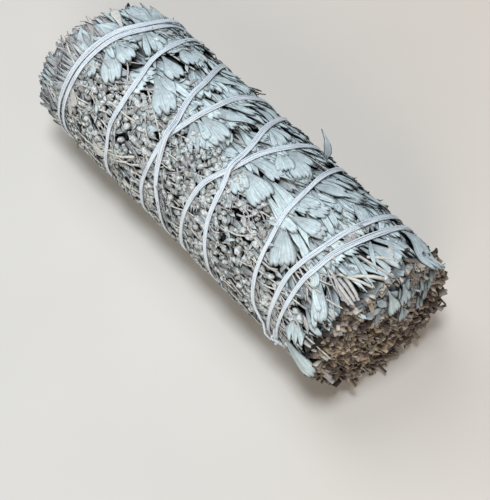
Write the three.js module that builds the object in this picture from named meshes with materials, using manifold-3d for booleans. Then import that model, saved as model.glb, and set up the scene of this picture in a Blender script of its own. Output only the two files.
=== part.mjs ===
// A bunch of dried mountain sage that lies on its side, bound with one cotton string.
//
// Millimetres. +X runs along the bunch towards the cut ends of the stems and +Z is up. The origin is
// on the surface that the bunch lies on, below its middle. A place on the bunch is given as x, an
// angle and a radius: the angle is in degrees about the bunch's axis, 0 at the top, 90 at the -Y side.
import * as THREE from "three";
import { mergeVertices } from "three/addons/utils/BufferGeometryUtils.js";
import Module from "manifold-3d";

const wasm = await Module();
wasm.setup();

// Driving dimensions of the bunch.
const BUNCH_RADIUS = 21;
const AXIS_HEIGHT = 20.2;
const CLEARANCE = 0.3;

// The ring of sprigs and flower spikes around the woody core.
const CORE_RADIUS = 9.8;
const RING_RADIUS = 19.9;
const BUTT_X = 51.6;
const BUTT_SPREAD = 0.8;
const TIP_X = -52.5;
const TIP_SLANT = 4.5;
const TIP_SLANT_ANGLE = 100;
const SPRIG_COUNT = 7;
const SPRIG_WIDTH = 35;
const SPRIG_START = 127.5;
const SPIKE_COUNT = 6;
const SPIKE_START = 12.5;
const SPIKE_WIDTH = (360 - SPRIG_COUNT * SPRIG_WIDTH) / SPIKE_COUNT;
const UNDERSIDE_ANGLE = 180;
const FLAT_HALF_ANGLE = 15;

// The woody stems of the core.
const STEM_PITCH = 3.8;
const STEM_RINGS = [1, 6, 12];
const STEM_BUTT_RADIUS = 1.5;
const STEM_TIP_RADIUS = 1.1;
const STEM_TIP_X = -37.5;
const STEM_BUTT_X = 55.8;
const STEM_BUTT_SPREAD = 1.3;
const STEM_BEND = 0.18;
const STEM_CUT_SLOPE = 0.35;
const STUB_RADIUS = 1.5;
const STUB_REACH = 3.2;
const STUB_BURIED = 3;

// The binding string.
const STRING_RADIUS = 0.55;
const STRING_SEAT = 20.9;
const STRING_SIDES = 6;
const STRING_STEP = 5.4;
const CROSSING_LIFT = 1.3;
const CROSSING_REACH = 2;
const KNOT_RADIUS = 1.3;

// The loose outer leaves.
const LEAF_THICKNESS = 0.55;
const LEAF_SEAT = 20.4;

// The string's route: [angle, x], from the knot out to the tip end and back to the knot.
const STRING_ROUTE = [
  [100, 40.5], [150, 41.2], [200, 41.6], [250, 42.8], [300, 44],
  [334, 43.1], [348, 42.2], [362, 41], [376, 39.7], [388, 39.2], [399, 38.6], [420, 38.8],
  [446, 39.2], [460, 39.3],
  [510, 38.7], [560, 38.9], [610, 39.4], [660, 40],
  [696, 39.1], [722, 37.6], [737, 36.8], [752, 35.7], [764, 35.2], [789, 35.8], [811, 36.4],
  [835, 36.6], [870, 34.8], [920, 31], [970, 22], [1020, 14],
  [1040, 12.6], [1059, 11.3], [1080, 9], [1098, 7.3], [1119, 4.2], [1140, 3.8], [1166, 4.5],
  [1200, 4.6], [1230, 4.4], [1280, 3], [1330, -1.5], [1380, -6],
  [1399, -6.5], [1414, -7.6], [1432, -8.3], [1462, -10.1], [1474, -11.2], [1493, -11],
  [1514, -11.1], [1530, -10.7],
  [1560, -11], [1590, -12], [1640, -17], [1690, -28], [1740, -37.5],
  [1781, -38.5], [1805, -41], [1831, -42.3], [1864, -42.7], [1883, -42.8],
  [1920, -42.6], [1950, -42.3], [2000, -41.5], [2050, -40.3], [2100, -39.2],
  [2141, -39.9], [2165, -42.4], [2191, -43.7], [2224, -44.1], [2243, -44.2],
  [2280, -44.1], [2310, -43.8], [2360, -43], [2410, -39], [2460, -33.5],
  [2492, -30.9], [2519, -29.6], [2535, -27.9], [2555, -26.7], [2574, -26.5], [2592, -25.2],
  [2602, -25.1],
  [2640, -24.6], [2670, -24.3], [2720, -23.6], [2770, -22.8], [2820, -21.6],
  [2836, -20.2], [2864, -16.1], [2880, -14.7], [2903, -11.6], [2915, -10.5], [2932, -8.7],
  [2944, -6.9], [2961, -4.1], [2980, -2.4],
  [3010, -1.8], [3030, -1.5], [3080, -0.8], [3130, -0.2], [3180, 1],
  [3197, 2.1], [3218, 3.7], [3237, 6], [3257, 7.1], [3264, 7.8], [3274, 9], [3296, 10.7],
  [3311, 12.3], [3327, 14.2],
  [3350, 16], [3390, 17.4], [3440, 18.8], [3490, 20.2], [3540, 21.5],
  [3566, 22.3], [3581, 23], [3596, 23.9], [3617, 24.7], [3634, 26.3], [3644, 27],
  [3660, 28.3], [3675, 29.9], [3684, 31.2], [3694, 34.4], [3701, 38.4],
];

// The outer leaves, each from its stalk to its tip: x and angle of both, width and number of teeth.
const OUTER_LEAVES = [
  { stalk: [-39.9, 17], tip: [-31.8, 31], width: 5.2, teeth: 3 },
  { stalk: [-39.4, 9], tip: [-32.6, 12], width: 4.4, teeth: 3 },
  { stalk: [-45.6, 26], tip: [-51.2, 17], width: 3.6, teeth: 1 },
  { stalk: [-42.4, -24], tip: [-48, -12], width: 4.4, teeth: 3 },
  { stalk: [-28.6, -24], tip: [-21.8, -19], width: 4, teeth: 3 },
  { stalk: [-27.6, -7], tip: [-20.2, -2], width: 4.2, teeth: 3 },
  { stalk: [-24, 9], tip: [-14.6, 21], width: 5.6, teeth: 3 },
  { stalk: [-7.7, 6], tip: [1.4, 9], width: 5.2, teeth: 3 },
  { stalk: [-6.8, -5], tip: [1, -13], width: 2.8, teeth: 1 },
  { stalk: [9.8, 14], tip: [19.4, 19], width: 5.8, teeth: 5 },
  { stalk: [12.9, -19], tip: [21.2, -11], width: 5, teeth: 5 },
  { stalk: [10.8, -1], tip: [17.8, 3], width: 3.6, teeth: 3 },
  { stalk: [24.8, -16], tip: [32.6, -27], width: 2.8, teeth: 1 },
  { stalk: [26, 4], tip: [32.2, -3], width: 3.4, teeth: 3 },
  { stalk: [27.6, 14], tip: [34, 9], width: 3.4, teeth: 3 },
  { stalk: [27.6, 24], tip: [32.6, 40], width: 5, teeth: 5 },
  { stalk: [46.4, -36], tip: [56.6, -32], width: 4.6, teeth: 3 },
  { stalk: [44.6, -7], tip: [52.2, -15], width: 3.8, teeth: 3 },
  { stalk: [41.4, 33], tip: [48.4, 51], width: 3.6, teeth: 3 },
  { stalk: [44.6, 103], tip: [52.4, 89], width: 5.2, teeth: 3 },
];

// The one leaf that stands away from the bunch: its places from stalk to tip, as x, angle and radius.
const RAISED_LEAF_PATH = [
  [17.6, -47, 20.6],
  [16.9, -48.4, 22.1],
  [15, -48.8, 23.9],
  [11.8, -48, 25.4],
];
const RAISED_LEAF_WIDTH = 2.4;

const radians = THREE.MathUtils.degToRad;
const degrees = THREE.MathUtils.radToDeg;

const finishes = {
  leaf: { color: 0xb9c4bd, roughness: 0.9, metalness: 0 },
  sprig: { color: 0xaab5ab, roughness: 0.95, metalness: 0 },
  spike: { color: 0xb3b09c, roughness: 0.95, metalness: 0 },
  stem: { color: 0x8f6f4e, roughness: 0.9, metalness: 0 },
  string: { color: 0xdfe4ea, roughness: 0.85, metalness: 0 },
};

const bunch = new THREE.Group();

function addNode(name, geometry, finish) {
  const mesh = new THREE.Mesh(geometry, new THREE.MeshStandardMaterial(finishes[finish]));
  mesh.name = name;
  bunch.add(mesh);
}

// The point at a place on the bunch.
function place(x, angle, radius) {
  const turn = radians(angle);
  return new THREE.Vector3(x, -radius * Math.sin(turn), AXIS_HEIGHT + radius * Math.cos(turn));
}

// The geometry with only its positions, and each shared vertex once.
function merged(geometry) {
  const bare = geometry.clone();
  bare.deleteAttribute("normal");
  bare.deleteAttribute("uv");
  return mergeVertices(bare, 1e-4);
}

function toSolid(geometry) {
  const closed = merged(geometry);
  return new wasm.Manifold(new wasm.Mesh({
    numProp: 3,
    vertProperties: closed.getAttribute("position").array,
    triVerts: new Uint32Array(closed.index.array),
  }));
}

function toGeometry(solid) {
  const { vertProperties, triVerts } = solid.getMesh();
  return new THREE.BufferGeometry()
    .setAttribute("position", new THREE.BufferAttribute(new Float32Array(vertProperties), 3))
    .setIndex(new THREE.BufferAttribute(new Uint32Array(triVerts), 1));
}

// Moves every vertex of a geometry to where the function puts it.
function reshape(geometry, move) {
  const position = geometry.getAttribute("position");
  const vertex = new THREE.Vector3();
  for (let i = 0; i < position.count; i++) {
    const moved = move(vertex.fromBufferAttribute(position, i));
    position.setXYZ(i, moved.x, moved.y, moved.z);
  }
  return geometry;
}

// A value read from a list of [place, value] pairs by straight lines between them.
function along(pairs, at) {
  const next = pairs.findIndex(([x]) => x >= at);
  if (next === 0) return pairs[0][1];
  if (next < 0) return pairs[pairs.length - 1][1];
  const [[x0, v0], [x1, v1]] = [pairs[next - 1], pairs[next]];
  return v0 + ((v1 - v0) * (at - x0)) / (x1 - x0);
}

// ---- The ring: leafy sprigs and flower spikes, side by side around the core ----

// How far the ring has filled out at a distance from the rounded tip, and from the cut butt.
const TIP_OUTER = [[0, 13.5], [2, 17.2], [5, 19.2], [9, RING_RADIUS]];
const BUTT_OUTER = [[0, 18.4], [1.5, 19.4], [4, RING_RADIUS]];

// Past the tips of the core's stems the ring closes in on the axis: its inner radius by x.
const RING_INNER = [[-45, 2.2], [-39, CORE_RADIUS]];

// The tip end is slanted: it reaches furthest on the -Y side.
function tipXAt(angle) {
  return TIP_X - TIP_SLANT * Math.cos(radians(angle - TIP_SLANT_ANGLE));
}

// The angle that a side face, set back by half the clearance, gives up at a radius.
function sideAngle(radius) {
  return degrees(Math.asin(CLEARANCE / 2 / radius));
}

// The section of one ring piece: an arc of the ring, in the plane across the bunch.
function sectorShape(middle, width, outerPoints, innerPoints) {
  const points = [];
  const addArc = (radius, count, sign) => {
    const half = width / 2 - sideAngle(radius);
    for (let i = 0; i < count; i++) {
      const angle = radians(middle + sign * half * (1 - (2 * i) / (count - 1)));
      points.push(new THREE.Vector2(-radius * Math.sin(angle), radius * Math.cos(angle)));
    }
  };
  addArc(RING_RADIUS, outerPoints, 1);
  addArc(CORE_RADIUS, innerPoints, -1);
  return new THREE.Shape(points);
}

// One ring piece from tip to butt. relief(x, angle) is how deep its outside lies below the ring.
function ringPiece({ middle, width, outerPoints, innerPoints, steps, buttX, relief }) {
  const shape = sectorShape(middle, width, outerPoints, innerPoints);
  const geometry = new THREE.ExtrudeGeometry(shape, { depth: 1, steps, bevelEnabled: false });
  const tipX = tipXAt(middle);
  return reshape(geometry, (v) => {
    const x = tipX + (buttX - tipX) * v.z;
    const fromTip = x - tipX;
    const inner = along(RING_INNER, x);
    const raw = Math.hypot(v.x, v.y);
    const turn = degrees(Math.atan2(-v.x, v.y)) - middle;
    const offset = THREE.MathUtils.euclideanModulo(turn + 180, 360) - 180;
    const fraction = offset / (width / 2 - sideAngle(raw));
    const full = Math.min(along(TIP_OUTER, fromTip), along(BUTT_OUTER, buttX - x));
    const outer = full - relief(x, middle + offset);
    const radius = inner + ((outer - inner) * (raw - CORE_RADIUS)) / (RING_RADIUS - CORE_RADIUS);
    return place(x, middle + fraction * (width / 2 - sideAngle(radius)), radius);
  });
}

// The cut end of the sprig's own stem, standing out of its leaves at the butt.
function stemStub(middle, buttX) {
  const reach = STUB_REACH + BUTT_SPREAD * Math.cos(middle);
  const length = reach + STUB_BURIED;
  const centreX = buttX + reach - length / 2;
  const stub = new THREE.CylinderGeometry(STUB_RADIUS, STUB_RADIUS, length, 8);
  const centre = place(centreX, middle, (CORE_RADIUS + RING_RADIUS) / 2);
  return stub.rotateZ(-Math.PI / 2).translate(centre.x, centre.y, centre.z);
}

const WIDE_LEAF_RELIEF = 0.9;
const LEAF_CLUMP_LENGTH = 12;
function leafRelief(x, angle) {
  const wave = Math.sin((2 * Math.PI * x) / LEAF_CLUMP_LENGTH + radians(angle) * 5);
  return WIDE_LEAF_RELIEF * (0.5 - 0.5 * wave);
}

const BUD_HEAD_RELIEF = 0.8;
const BUD_HEAD_LENGTH = 6.4;
function budRelief(x, angle) {
  const wave = Math.cos((2 * Math.PI * x) / BUD_HEAD_LENGTH) * Math.cos(radians(angle) * 12);
  return BUD_HEAD_RELIEF * (0.5 - 0.5 * wave);
}

// Below the bunch the leaves are pressed out to the flat that it lies on.
function undersideRelief(x, angle) {
  const inFlat = Math.abs(angle - UNDERSIDE_ANGLE) < FLAT_HALF_ANGLE;
  return RING_RADIUS - (inFlat ? BUNCH_RADIUS : AXIS_HEIGHT);
}

// ---- The string ----

// x of the string at a running angle: a smooth curve through the route's points.
function stringX(angle) {
  const route = STRING_ROUTE;
  const last = route.length - 1;
  const next = THREE.MathUtils.clamp(route.findIndex(([a]) => a >= angle), 1, last);
  const slope = (i) => {
    const [before, after] = [route[Math.max(i - 1, 0)], route[Math.min(i + 1, last)]];
    return (after[1] - before[1]) / (after[0] - before[0]);
  };
  const [[a0, x0], [a1, x1]] = [route[next - 1], route[next]];
  const span = a1 - a0;
  const t = (angle - a0) / span;
  const rise = t * t * (3 - 2 * t);
  const leave = t * (1 - t) * (1 - t) * span * slope(next - 1);
  const arrive = t * t * (t - 1) * span * slope(next);
  return x0 + (x1 - x0) * rise + leave + arrive;
}

// How far the string is lifted where it passes over turns that were laid before it.
function stringLift(angle) {
  const x = stringX(angle);
  let lift = 0;
  for (let earlier = angle - 360; earlier >= STRING_ROUTE[0][0]; earlier -= 360) {
    const apart = Math.abs(stringX(earlier) - x);
    if (apart < CROSSING_REACH) {
      const over = CROSSING_LIFT * (1 - (apart / CROSSING_REACH) ** 2) ** 2;
      lift = Math.max(lift, over + stringLift(earlier) * (over / CROSSING_LIFT));
    }
  }
  return lift;
}

// The string lies on the ring, and on the underside it stays above the surface.
function stringPoint(angle) {
  const lowest = STRING_RADIUS + 0.08;
  const belowAxis = -Math.cos(radians(angle));
  const limit = belowAxis > 0.5 ? (AXIS_HEIGHT - lowest) / belowAxis : Infinity;
  return place(stringX(angle), angle, Math.min(STRING_SEAT + stringLift(angle), limit));
}

const stringPoints = [];
const [routeStart, routeEnd] = [STRING_ROUTE[0][0], STRING_ROUTE[STRING_ROUTE.length - 1][0]];
const ROUTE_STEP = 5;
const routeSteps = Math.round((routeEnd - routeStart) / ROUTE_STEP);
for (let i = 0; i <= routeSteps; i++) {
  stringPoints.push(stringPoint(routeStart + ((routeEnd - routeStart) * i) / routeSteps));
}
const stringCurve = new THREE.CatmullRomCurve3(stringPoints);
stringCurve.arcLengthDivisions = routeSteps * 4;

// A tube along the string's route.
function stringTube(radius) {
  const section = new THREE.Shape();
  for (let i = 0; i < STRING_SIDES; i++) {
    const turn = (2 * Math.PI * (i + 0.5)) / STRING_SIDES;
    const point = [radius * Math.cos(turn), radius * Math.sin(turn)];
    if (i) section.lineTo(...point);
    else section.moveTo(...point);
  }
  return new THREE.ExtrudeGeometry(section, {
    steps: Math.round(stringCurve.getLength() / STRING_STEP),
    extrudePath: stringCurve,
  });
}

function bindingString() {
  const knotPlace = stringPoint(routeEnd).lerp(stringPoint(routeStart), 0.5);
  const knot = new THREE.IcosahedronGeometry(KNOT_RADIUS, 1);
  knot.translate(knotPlace.x, knotPlace.y, knotPlace.z);
  return toGeometry(toSolid(stringTube(STRING_RADIUS)).add(toSolid(knot)));
}

// ---- The core's woody stems ----

// A stem's knuckles: how far along it each ring of its profile lies, and how much it swells there.
const STEM_KNUCKLES = [[0, 0], [0.28, 0], [0.31, 0.12], [0.6, 0], [0.63, 0.14], [0.86, 0], [1, 0]];

// One stem as a turned, slightly knuckled rod with a slanting cut, laid along X.
function woodyStem(index, angle, ring) {
  const profile = STEM_KNUCKLES.map(([part, swell]) => {
    const radius = THREE.MathUtils.lerp(STEM_TIP_RADIUS, STEM_BUTT_RADIUS, part) + swell;
    return new THREE.Vector2(radius, part);
  });
  const closed = [new THREE.Vector2(0, 0), ...profile, new THREE.Vector2(0, 1)];
  const stem = new THREE.LatheGeometry(closed, 7);
  const buttX = STEM_BUTT_X + STEM_BUTT_SPREAD * Math.sin(index * 2.4);
  const cutSlope = STEM_CUT_SLOPE * Math.sin(index * 1.7);
  return reshape(stem, (v) => {
    const sway = STEM_BEND * Math.sin(v.y * Math.PI * 3 + index);
    const x = STEM_TIP_X + (buttX - STEM_TIP_X) * v.y + (v.y === 1 ? cutSlope * v.x : 0);
    return place(x, angle, ring * STEM_PITCH).add(new THREE.Vector3(0, v.z, v.x + sway));
  });
}

// ---- The outer leaves ----

// A wedge-shaped leaf outline: narrow at the stalk, widest near the toothed tip.
function leafShape(length, width, teeth) {
  const stalk = 0.45;
  const shoulder = length * 0.72;
  const shape = new THREE.Shape([
    new THREE.Vector2(0, -stalk),
    new THREE.Vector2(length * 0.4, -width * 0.3),
    new THREE.Vector2(shoulder, -width / 2),
  ]);
  const notchDepth = length * 0.14;
  for (let i = 0; i < teeth; i++) {
    const across = teeth > 1 ? i / (teeth - 1) - 0.5 : 0;
    const reach = length * (1 - 0.5 * across * across);
    shape.lineTo(reach, across * width * 0.86);
    if (i < teeth - 1) {
      shape.lineTo(reach - notchDepth, (across + 0.5 / (teeth - 1)) * width * 0.86);
    }
  }
  shape.lineTo(shoulder, width / 2);
  shape.lineTo(length * 0.4, width * 0.3);
  shape.lineTo(0, stalk);
  return shape;
}

// A leaf laid on the bunch from its stalk to its tip, with the tip end a little raised.
function outerLeaf({ stalk, tip, width, teeth }) {
  const perDegree = radians(1) * LEAF_SEAT;
  const run = new THREE.Vector2(tip[0] - stalk[0], (tip[1] - stalk[1]) * perDegree);
  const length = run.length();
  const raise = 0.5;
  const leaf = new THREE.ExtrudeGeometry(leafShape(length, width, teeth), {
    depth: LEAF_THICKNESS,
    bevelEnabled: false,
  });
  return reshape(leaf, (v) => {
    const x = stalk[0] + (v.x * run.x + v.y * run.y) / length;
    const around = (v.x * run.y - v.y * run.x) / length;
    const lift = raise * (v.x / length) ** 2;
    return place(x, stalk[1] + around / perDegree, LEAF_SEAT + lift + v.z);
  });
}

// The raised leaf: a narrow pointed blade that follows its own curve.
function raisedLeaf() {
  const path = new THREE.CatmullRomCurve3(RAISED_LEAF_PATH.map((p) => place(...p)));
  const half = RAISED_LEAF_WIDTH / 2;
  const outline = [[0, 0.35], [0.25, 0.8], [0.5, 1], [0.75, 0.75], [1, 0.12]];
  const rightEdge = outline.map(([t, w]) => new THREE.Vector2(t, -w * half));
  const leftEdge = outline.map(([t, w]) => new THREE.Vector2(t, w * half)).reverse();
  const blade = new THREE.ExtrudeGeometry(new THREE.Shape([...rightEdge, ...leftEdge]), {
    depth: LEAF_THICKNESS,
    bevelEnabled: false,
  });
  const across = new THREE.Vector3(0.35, 0.75, -0.55).normalize();
  return reshape(blade, (v) => {
    const t = THREE.MathUtils.clamp(v.x, 0, 1);
    const normal = new THREE.Vector3().crossVectors(path.getTangent(t), across).normalize();
    return path.getPoint(t).addScaledVector(across, v.y).addScaledVector(normal, v.z);
  });
}

// ---- The bunch ----

const groove = toSolid(stringTube(STRING_RADIUS + CLEARANCE * 1.3));
const surfaceDepth = 10;
const surface = toSolid(
  new THREE.BoxGeometry(200, 200, surfaceDepth).translate(0, 0, -surfaceDepth / 2),
);

for (let i = 0; i < SPRIG_COUNT; i++) {
  const middle = SPRIG_START + SPRIG_WIDTH * (i + 0.5);
  const isUnderside = middle === UNDERSIDE_ANGLE;
  const buttX = BUTT_X + BUTT_SPREAD * Math.sin(i * 2.1);
  const piece = toSolid(ringPiece({
    middle,
    width: SPRIG_WIDTH,
    outerPoints: 7,
    innerPoints: 3,
    steps: 21,
    buttX,
    relief: isUnderside ? undersideRelief : leafRelief,
  }));
  let sprig = piece.add(toSolid(stemStub(middle, buttX)));
  if (isUnderside) sprig = sprig.subtract(surface).subtract(groove);
  addNode(`leafy_sprig_${i + 1}`, toGeometry(sprig), "sprig");
}

for (let i = 0; i < SPIKE_COUNT; i++) {
  const middle = SPIKE_START + SPIKE_WIDTH * (i + 0.5);
  const buttX = BUTT_X + BUTT_SPREAD * Math.cos(i * 2.3);
  const piece = toSolid(ringPiece({
    middle,
    width: SPIKE_WIDTH,
    outerPoints: 4,
    innerPoints: 2,
    steps: 34,
    buttX,
    relief: budRelief,
  }));
  const spike = piece.add(toSolid(stemStub(middle, buttX)));
  addNode(`flower_spike_${i + 1}`, toGeometry(spike), "spike");
}

let stemIndex = 0;
STEM_RINGS.forEach((count, ring) => {
  for (let i = 0; i < count; i++) {
    stemIndex += 1;
    const name = `woody_stem_${String(stemIndex).padStart(2, "0")}`;
    addNode(name, merged(woodyStem(stemIndex, (360 * i) / count, ring)), "stem");
  }
});

OUTER_LEAVES.forEach((leaf, i) => {
  addNode(`outer_leaf_${String(i + 1).padStart(2, "0")}`, outerLeaf(leaf), "leaf");
});
addNode("raised_leaf", raisedLeaf(), "leaf");

addNode("binding_string", bindingString(), "string");

export default bunch;
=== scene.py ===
"""Looks of a dried sage bunch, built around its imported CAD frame.

Sizes are in millimetres, unless a name says otherwise, and meshes are made in metres. A place on the
bunch is x along it, an angle about its axis in degrees (0 at the top, 90 at the -Y side) and a radius
from that axis, or a height above the bunch's outside. A spot has the first two, a place all three.
"""
import logging
import math
import random
from dataclasses import dataclass, field, replace
from enum import Enum
from typing import Callable, Sequence

import bmesh
import bpy
from mathutils import Euler, Matrix, Vector, noise


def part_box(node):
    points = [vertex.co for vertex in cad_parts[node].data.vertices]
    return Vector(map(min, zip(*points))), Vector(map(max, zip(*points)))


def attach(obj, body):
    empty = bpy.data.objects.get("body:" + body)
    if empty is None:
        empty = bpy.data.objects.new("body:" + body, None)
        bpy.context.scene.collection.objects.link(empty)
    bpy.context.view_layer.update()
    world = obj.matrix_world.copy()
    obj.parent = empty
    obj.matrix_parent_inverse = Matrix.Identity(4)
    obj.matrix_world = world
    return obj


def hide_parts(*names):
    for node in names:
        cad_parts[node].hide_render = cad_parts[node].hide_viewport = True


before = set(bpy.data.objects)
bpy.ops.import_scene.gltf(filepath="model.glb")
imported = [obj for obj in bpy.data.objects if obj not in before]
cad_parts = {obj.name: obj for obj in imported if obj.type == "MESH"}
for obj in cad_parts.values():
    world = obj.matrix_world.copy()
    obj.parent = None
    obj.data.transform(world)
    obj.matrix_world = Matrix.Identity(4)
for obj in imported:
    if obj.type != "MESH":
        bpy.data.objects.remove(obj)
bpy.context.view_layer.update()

MM = 0.001
BODY = "root"
LOG = logging.getLogger("sage_bunch")

Colour = tuple[float, float, float]
Mesh = bpy.types.Mesh
Object = bpy.types.Object
Socket = bpy.types.NodeSocket
Pair = tuple[float, float]
Range = Pair
Spot = Pair
Place = tuple[float, float, float]
Mover = Callable[[Vector], Vector]
# A painted shade factor, or what gives it for each point.
PaintedOpenness = float | Callable[[Vector], float] | None
Site = Callable[[float, float], bool]


def linear(red: int, green: int, blue: int) -> Colour:
    """Turn a display colour into scene-linear values.

    Args:
        red: Red from 0 to 255.
        green: Green from 0 to 255.
        blue: Blue from 0 to 255.

    Returns:
        The three scene-linear values, from 0 to 1.
    """
    shares = [value / 255 for value in (red, green, blue)]
    return tuple(share / 12.92 if share < 0.04 else ((share + 0.055) / 1.055) ** 2.4 for share in shares)


def shades(*colours: tuple[int, int, int]) -> tuple[Colour, ...]:
    """Return display colours as scene-linear ones."""
    return tuple(linear(*colour) for colour in colours)


def mix(start: float, end: float, share: float) -> float:
    """Return the value that lies at a share of the way from start to end."""
    return start + (end - start) * share


def smooth(value: float) -> float:
    """Return value eased from 0 to 1, and held at those ends outside them."""
    held = min(max(value, 0.0), 1.0)
    return held * held * (3 - 2 * held)


def along(pairs: Sequence[Pair], at: float) -> float:
    """Read a value from a list of places and values, by straight lines between them.

    Args:
        pairs: Places in rising order, each with its value.
        at: The place to read.

    Returns:
        The value there; past the ends, the first or last value.
    """
    if at <= pairs[0][0]:
        return pairs[0][1]
    for (x0, v0), (x1, v1) in zip(pairs, pairs[1:]):
        if at <= x1:
            return mix(v0, v1, (at - x0) / (x1 - x0))
    return pairs[-1][1]


def soft_cap(value: float, cap: float, softness: float) -> float:
    """Hold a value below a cap, easing towards it instead of stopping dead.

    Args:
        value: The value to hold.
        cap: What it never reaches.
        softness: How far below the cap the easing begins.

    Returns:
        The held value.
    """
    over = value - (cap - softness)
    if over <= 0:
        return value
    return cap - softness * math.exp(-over / softness)


# ---- The shape of the bunch --------------------------------------------------


@dataclass(frozen=True)
class StringRoute:
    """The binding string's route: running angle and x, out from the knot to the tip and back."""

    seat: float = 20.9
    crossing_lift: float = 1.3
    crossing_reach: float = 2.0
    points: tuple[Pair, ...] = (
        (100, 40.5), (150, 41.2), (200, 41.6), (250, 42.8), (300, 44),
        (334, 43.1), (348, 42.2), (362, 41), (376, 39.7), (388, 39.2), (399, 38.6), (420, 38.8),
        (446, 39.2), (460, 39.3),
        (510, 38.7), (560, 38.9), (610, 39.4), (660, 40),
        (696, 39.1), (722, 37.6), (737, 36.8), (752, 35.7), (764, 35.2), (789, 35.8), (811, 36.4),
        (835, 36.6), (870, 34.8), (920, 31), (970, 22), (1020, 14),
        (1040, 12.6), (1059, 11.3), (1080, 9), (1098, 7.3), (1119, 4.2), (1140, 3.8), (1166, 4.5),
        (1200, 4.6), (1230, 4.4), (1280, 3), (1330, -1.5), (1380, -6),
        (1399, -6.5), (1414, -7.6), (1432, -8.3), (1462, -10.1), (1474, -11.2), (1493, -11),
        (1514, -11.1), (1530, -10.7),
        (1560, -11), (1590, -12), (1640, -17), (1690, -28), (1740, -37.5),
        (1781, -38.5), (1805, -41), (1831, -42.3), (1864, -42.7), (1883, -42.8),
        (1920, -42.6), (1950, -42.3), (2000, -41.5), (2050, -40.3), (2100, -39.2),
        (2141, -39.9), (2165, -42.4), (2191, -43.7), (2224, -44.1), (2243, -44.2),
        (2280, -44.1), (2310, -43.8), (2360, -43), (2410, -39), (2460, -33.5),
        (2492, -30.9), (2519, -29.6), (2535, -27.9), (2555, -26.7), (2574, -26.5), (2592, -25.2),
        (2602, -25.1),
        (2640, -24.6), (2670, -24.3), (2720, -23.6), (2770, -22.8), (2820, -21.6),
        (2836, -20.2), (2864, -16.1), (2880, -14.7), (2903, -11.6), (2915, -10.5), (2932, -8.7),
        (2944, -6.9), (2961, -4.1), (2980, -2.4),
        (3010, -1.8), (3030, -1.5), (3080, -0.8), (3130, -0.2), (3180, 1),
        (3197, 2.1), (3218, 3.7), (3237, 6), (3257, 7.1), (3264, 7.8), (3274, 9), (3296, 10.7),
        (3311, 12.3), (3327, 14.2),
        (3350, 16), (3390, 17.4), (3440, 18.8), (3490, 20.2), (3540, 21.5),
        (3566, 22.3), (3581, 23), (3596, 23.9), (3617, 24.7), (3634, 26.3), (3644, 27),
        (3660, 28.3), (3675, 29.9), (3684, 31.2), (3694, 34.4), (3701, 38.4),
    )

    def slope(self, index: int) -> float:
        """Return how fast x changes with the angle at one of the route's points.

        Args:
            index: The point's index.

        Returns:
            The change of x for each degree.
        """
        before = self.points[max(index - 1, 0)]
        after = self.points[min(index + 1, len(self.points) - 1)]
        return (after[1] - before[1]) / (after[0] - before[0])

    def x_at(self, angle: float) -> float:
        """Return x of the string at a running angle, on a smooth curve through the points.

        Args:
            angle: The running angle.

        Returns:
            x there.
        """
        last = len(self.points) - 1
        following = next((i for i, point in enumerate(self.points) if point[0] >= angle), last)
        following = max(following, 1)
        (a0, x0), (a1, x1) = self.points[following - 1], self.points[following]
        span = a1 - a0
        t = (angle - a0) / span
        leave = t * (1 - t) ** 2 * span * self.slope(following - 1)
        arrive = t * t * (t - 1) * span * self.slope(following)
        return mix(x0, x1, t * t * (3 - 2 * t)) + leave + arrive

    def lift_at(self, angle: float) -> float:
        """Return how far the string is lifted where it passes over turns laid before it.

        Args:
            angle: The running angle.

        Returns:
            The lift.
        """
        x = self.x_at(angle)
        lift = 0.0
        earlier = angle - 360
        while earlier >= self.points[0][0]:
            apart = abs(self.x_at(earlier) - x)
            if apart < self.crossing_reach:
                share = (1 - (apart / self.crossing_reach) ** 2) ** 2
                lift = max(lift, share * (self.crossing_lift + self.lift_at(earlier)))
            earlier -= 360
        return lift

    def passes(self) -> list[list[float]]:
        """Return, for each whole degree round the bunch, the x of every turn that passes there."""
        start, end = self.points[0][0], self.points[-1][0]
        turns: list[list[float]] = [[] for _ in range(360)]
        for running in range(int(start), int(end) + 1):
            turns[running % 360].append(self.x_at(running))
        return turns


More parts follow.
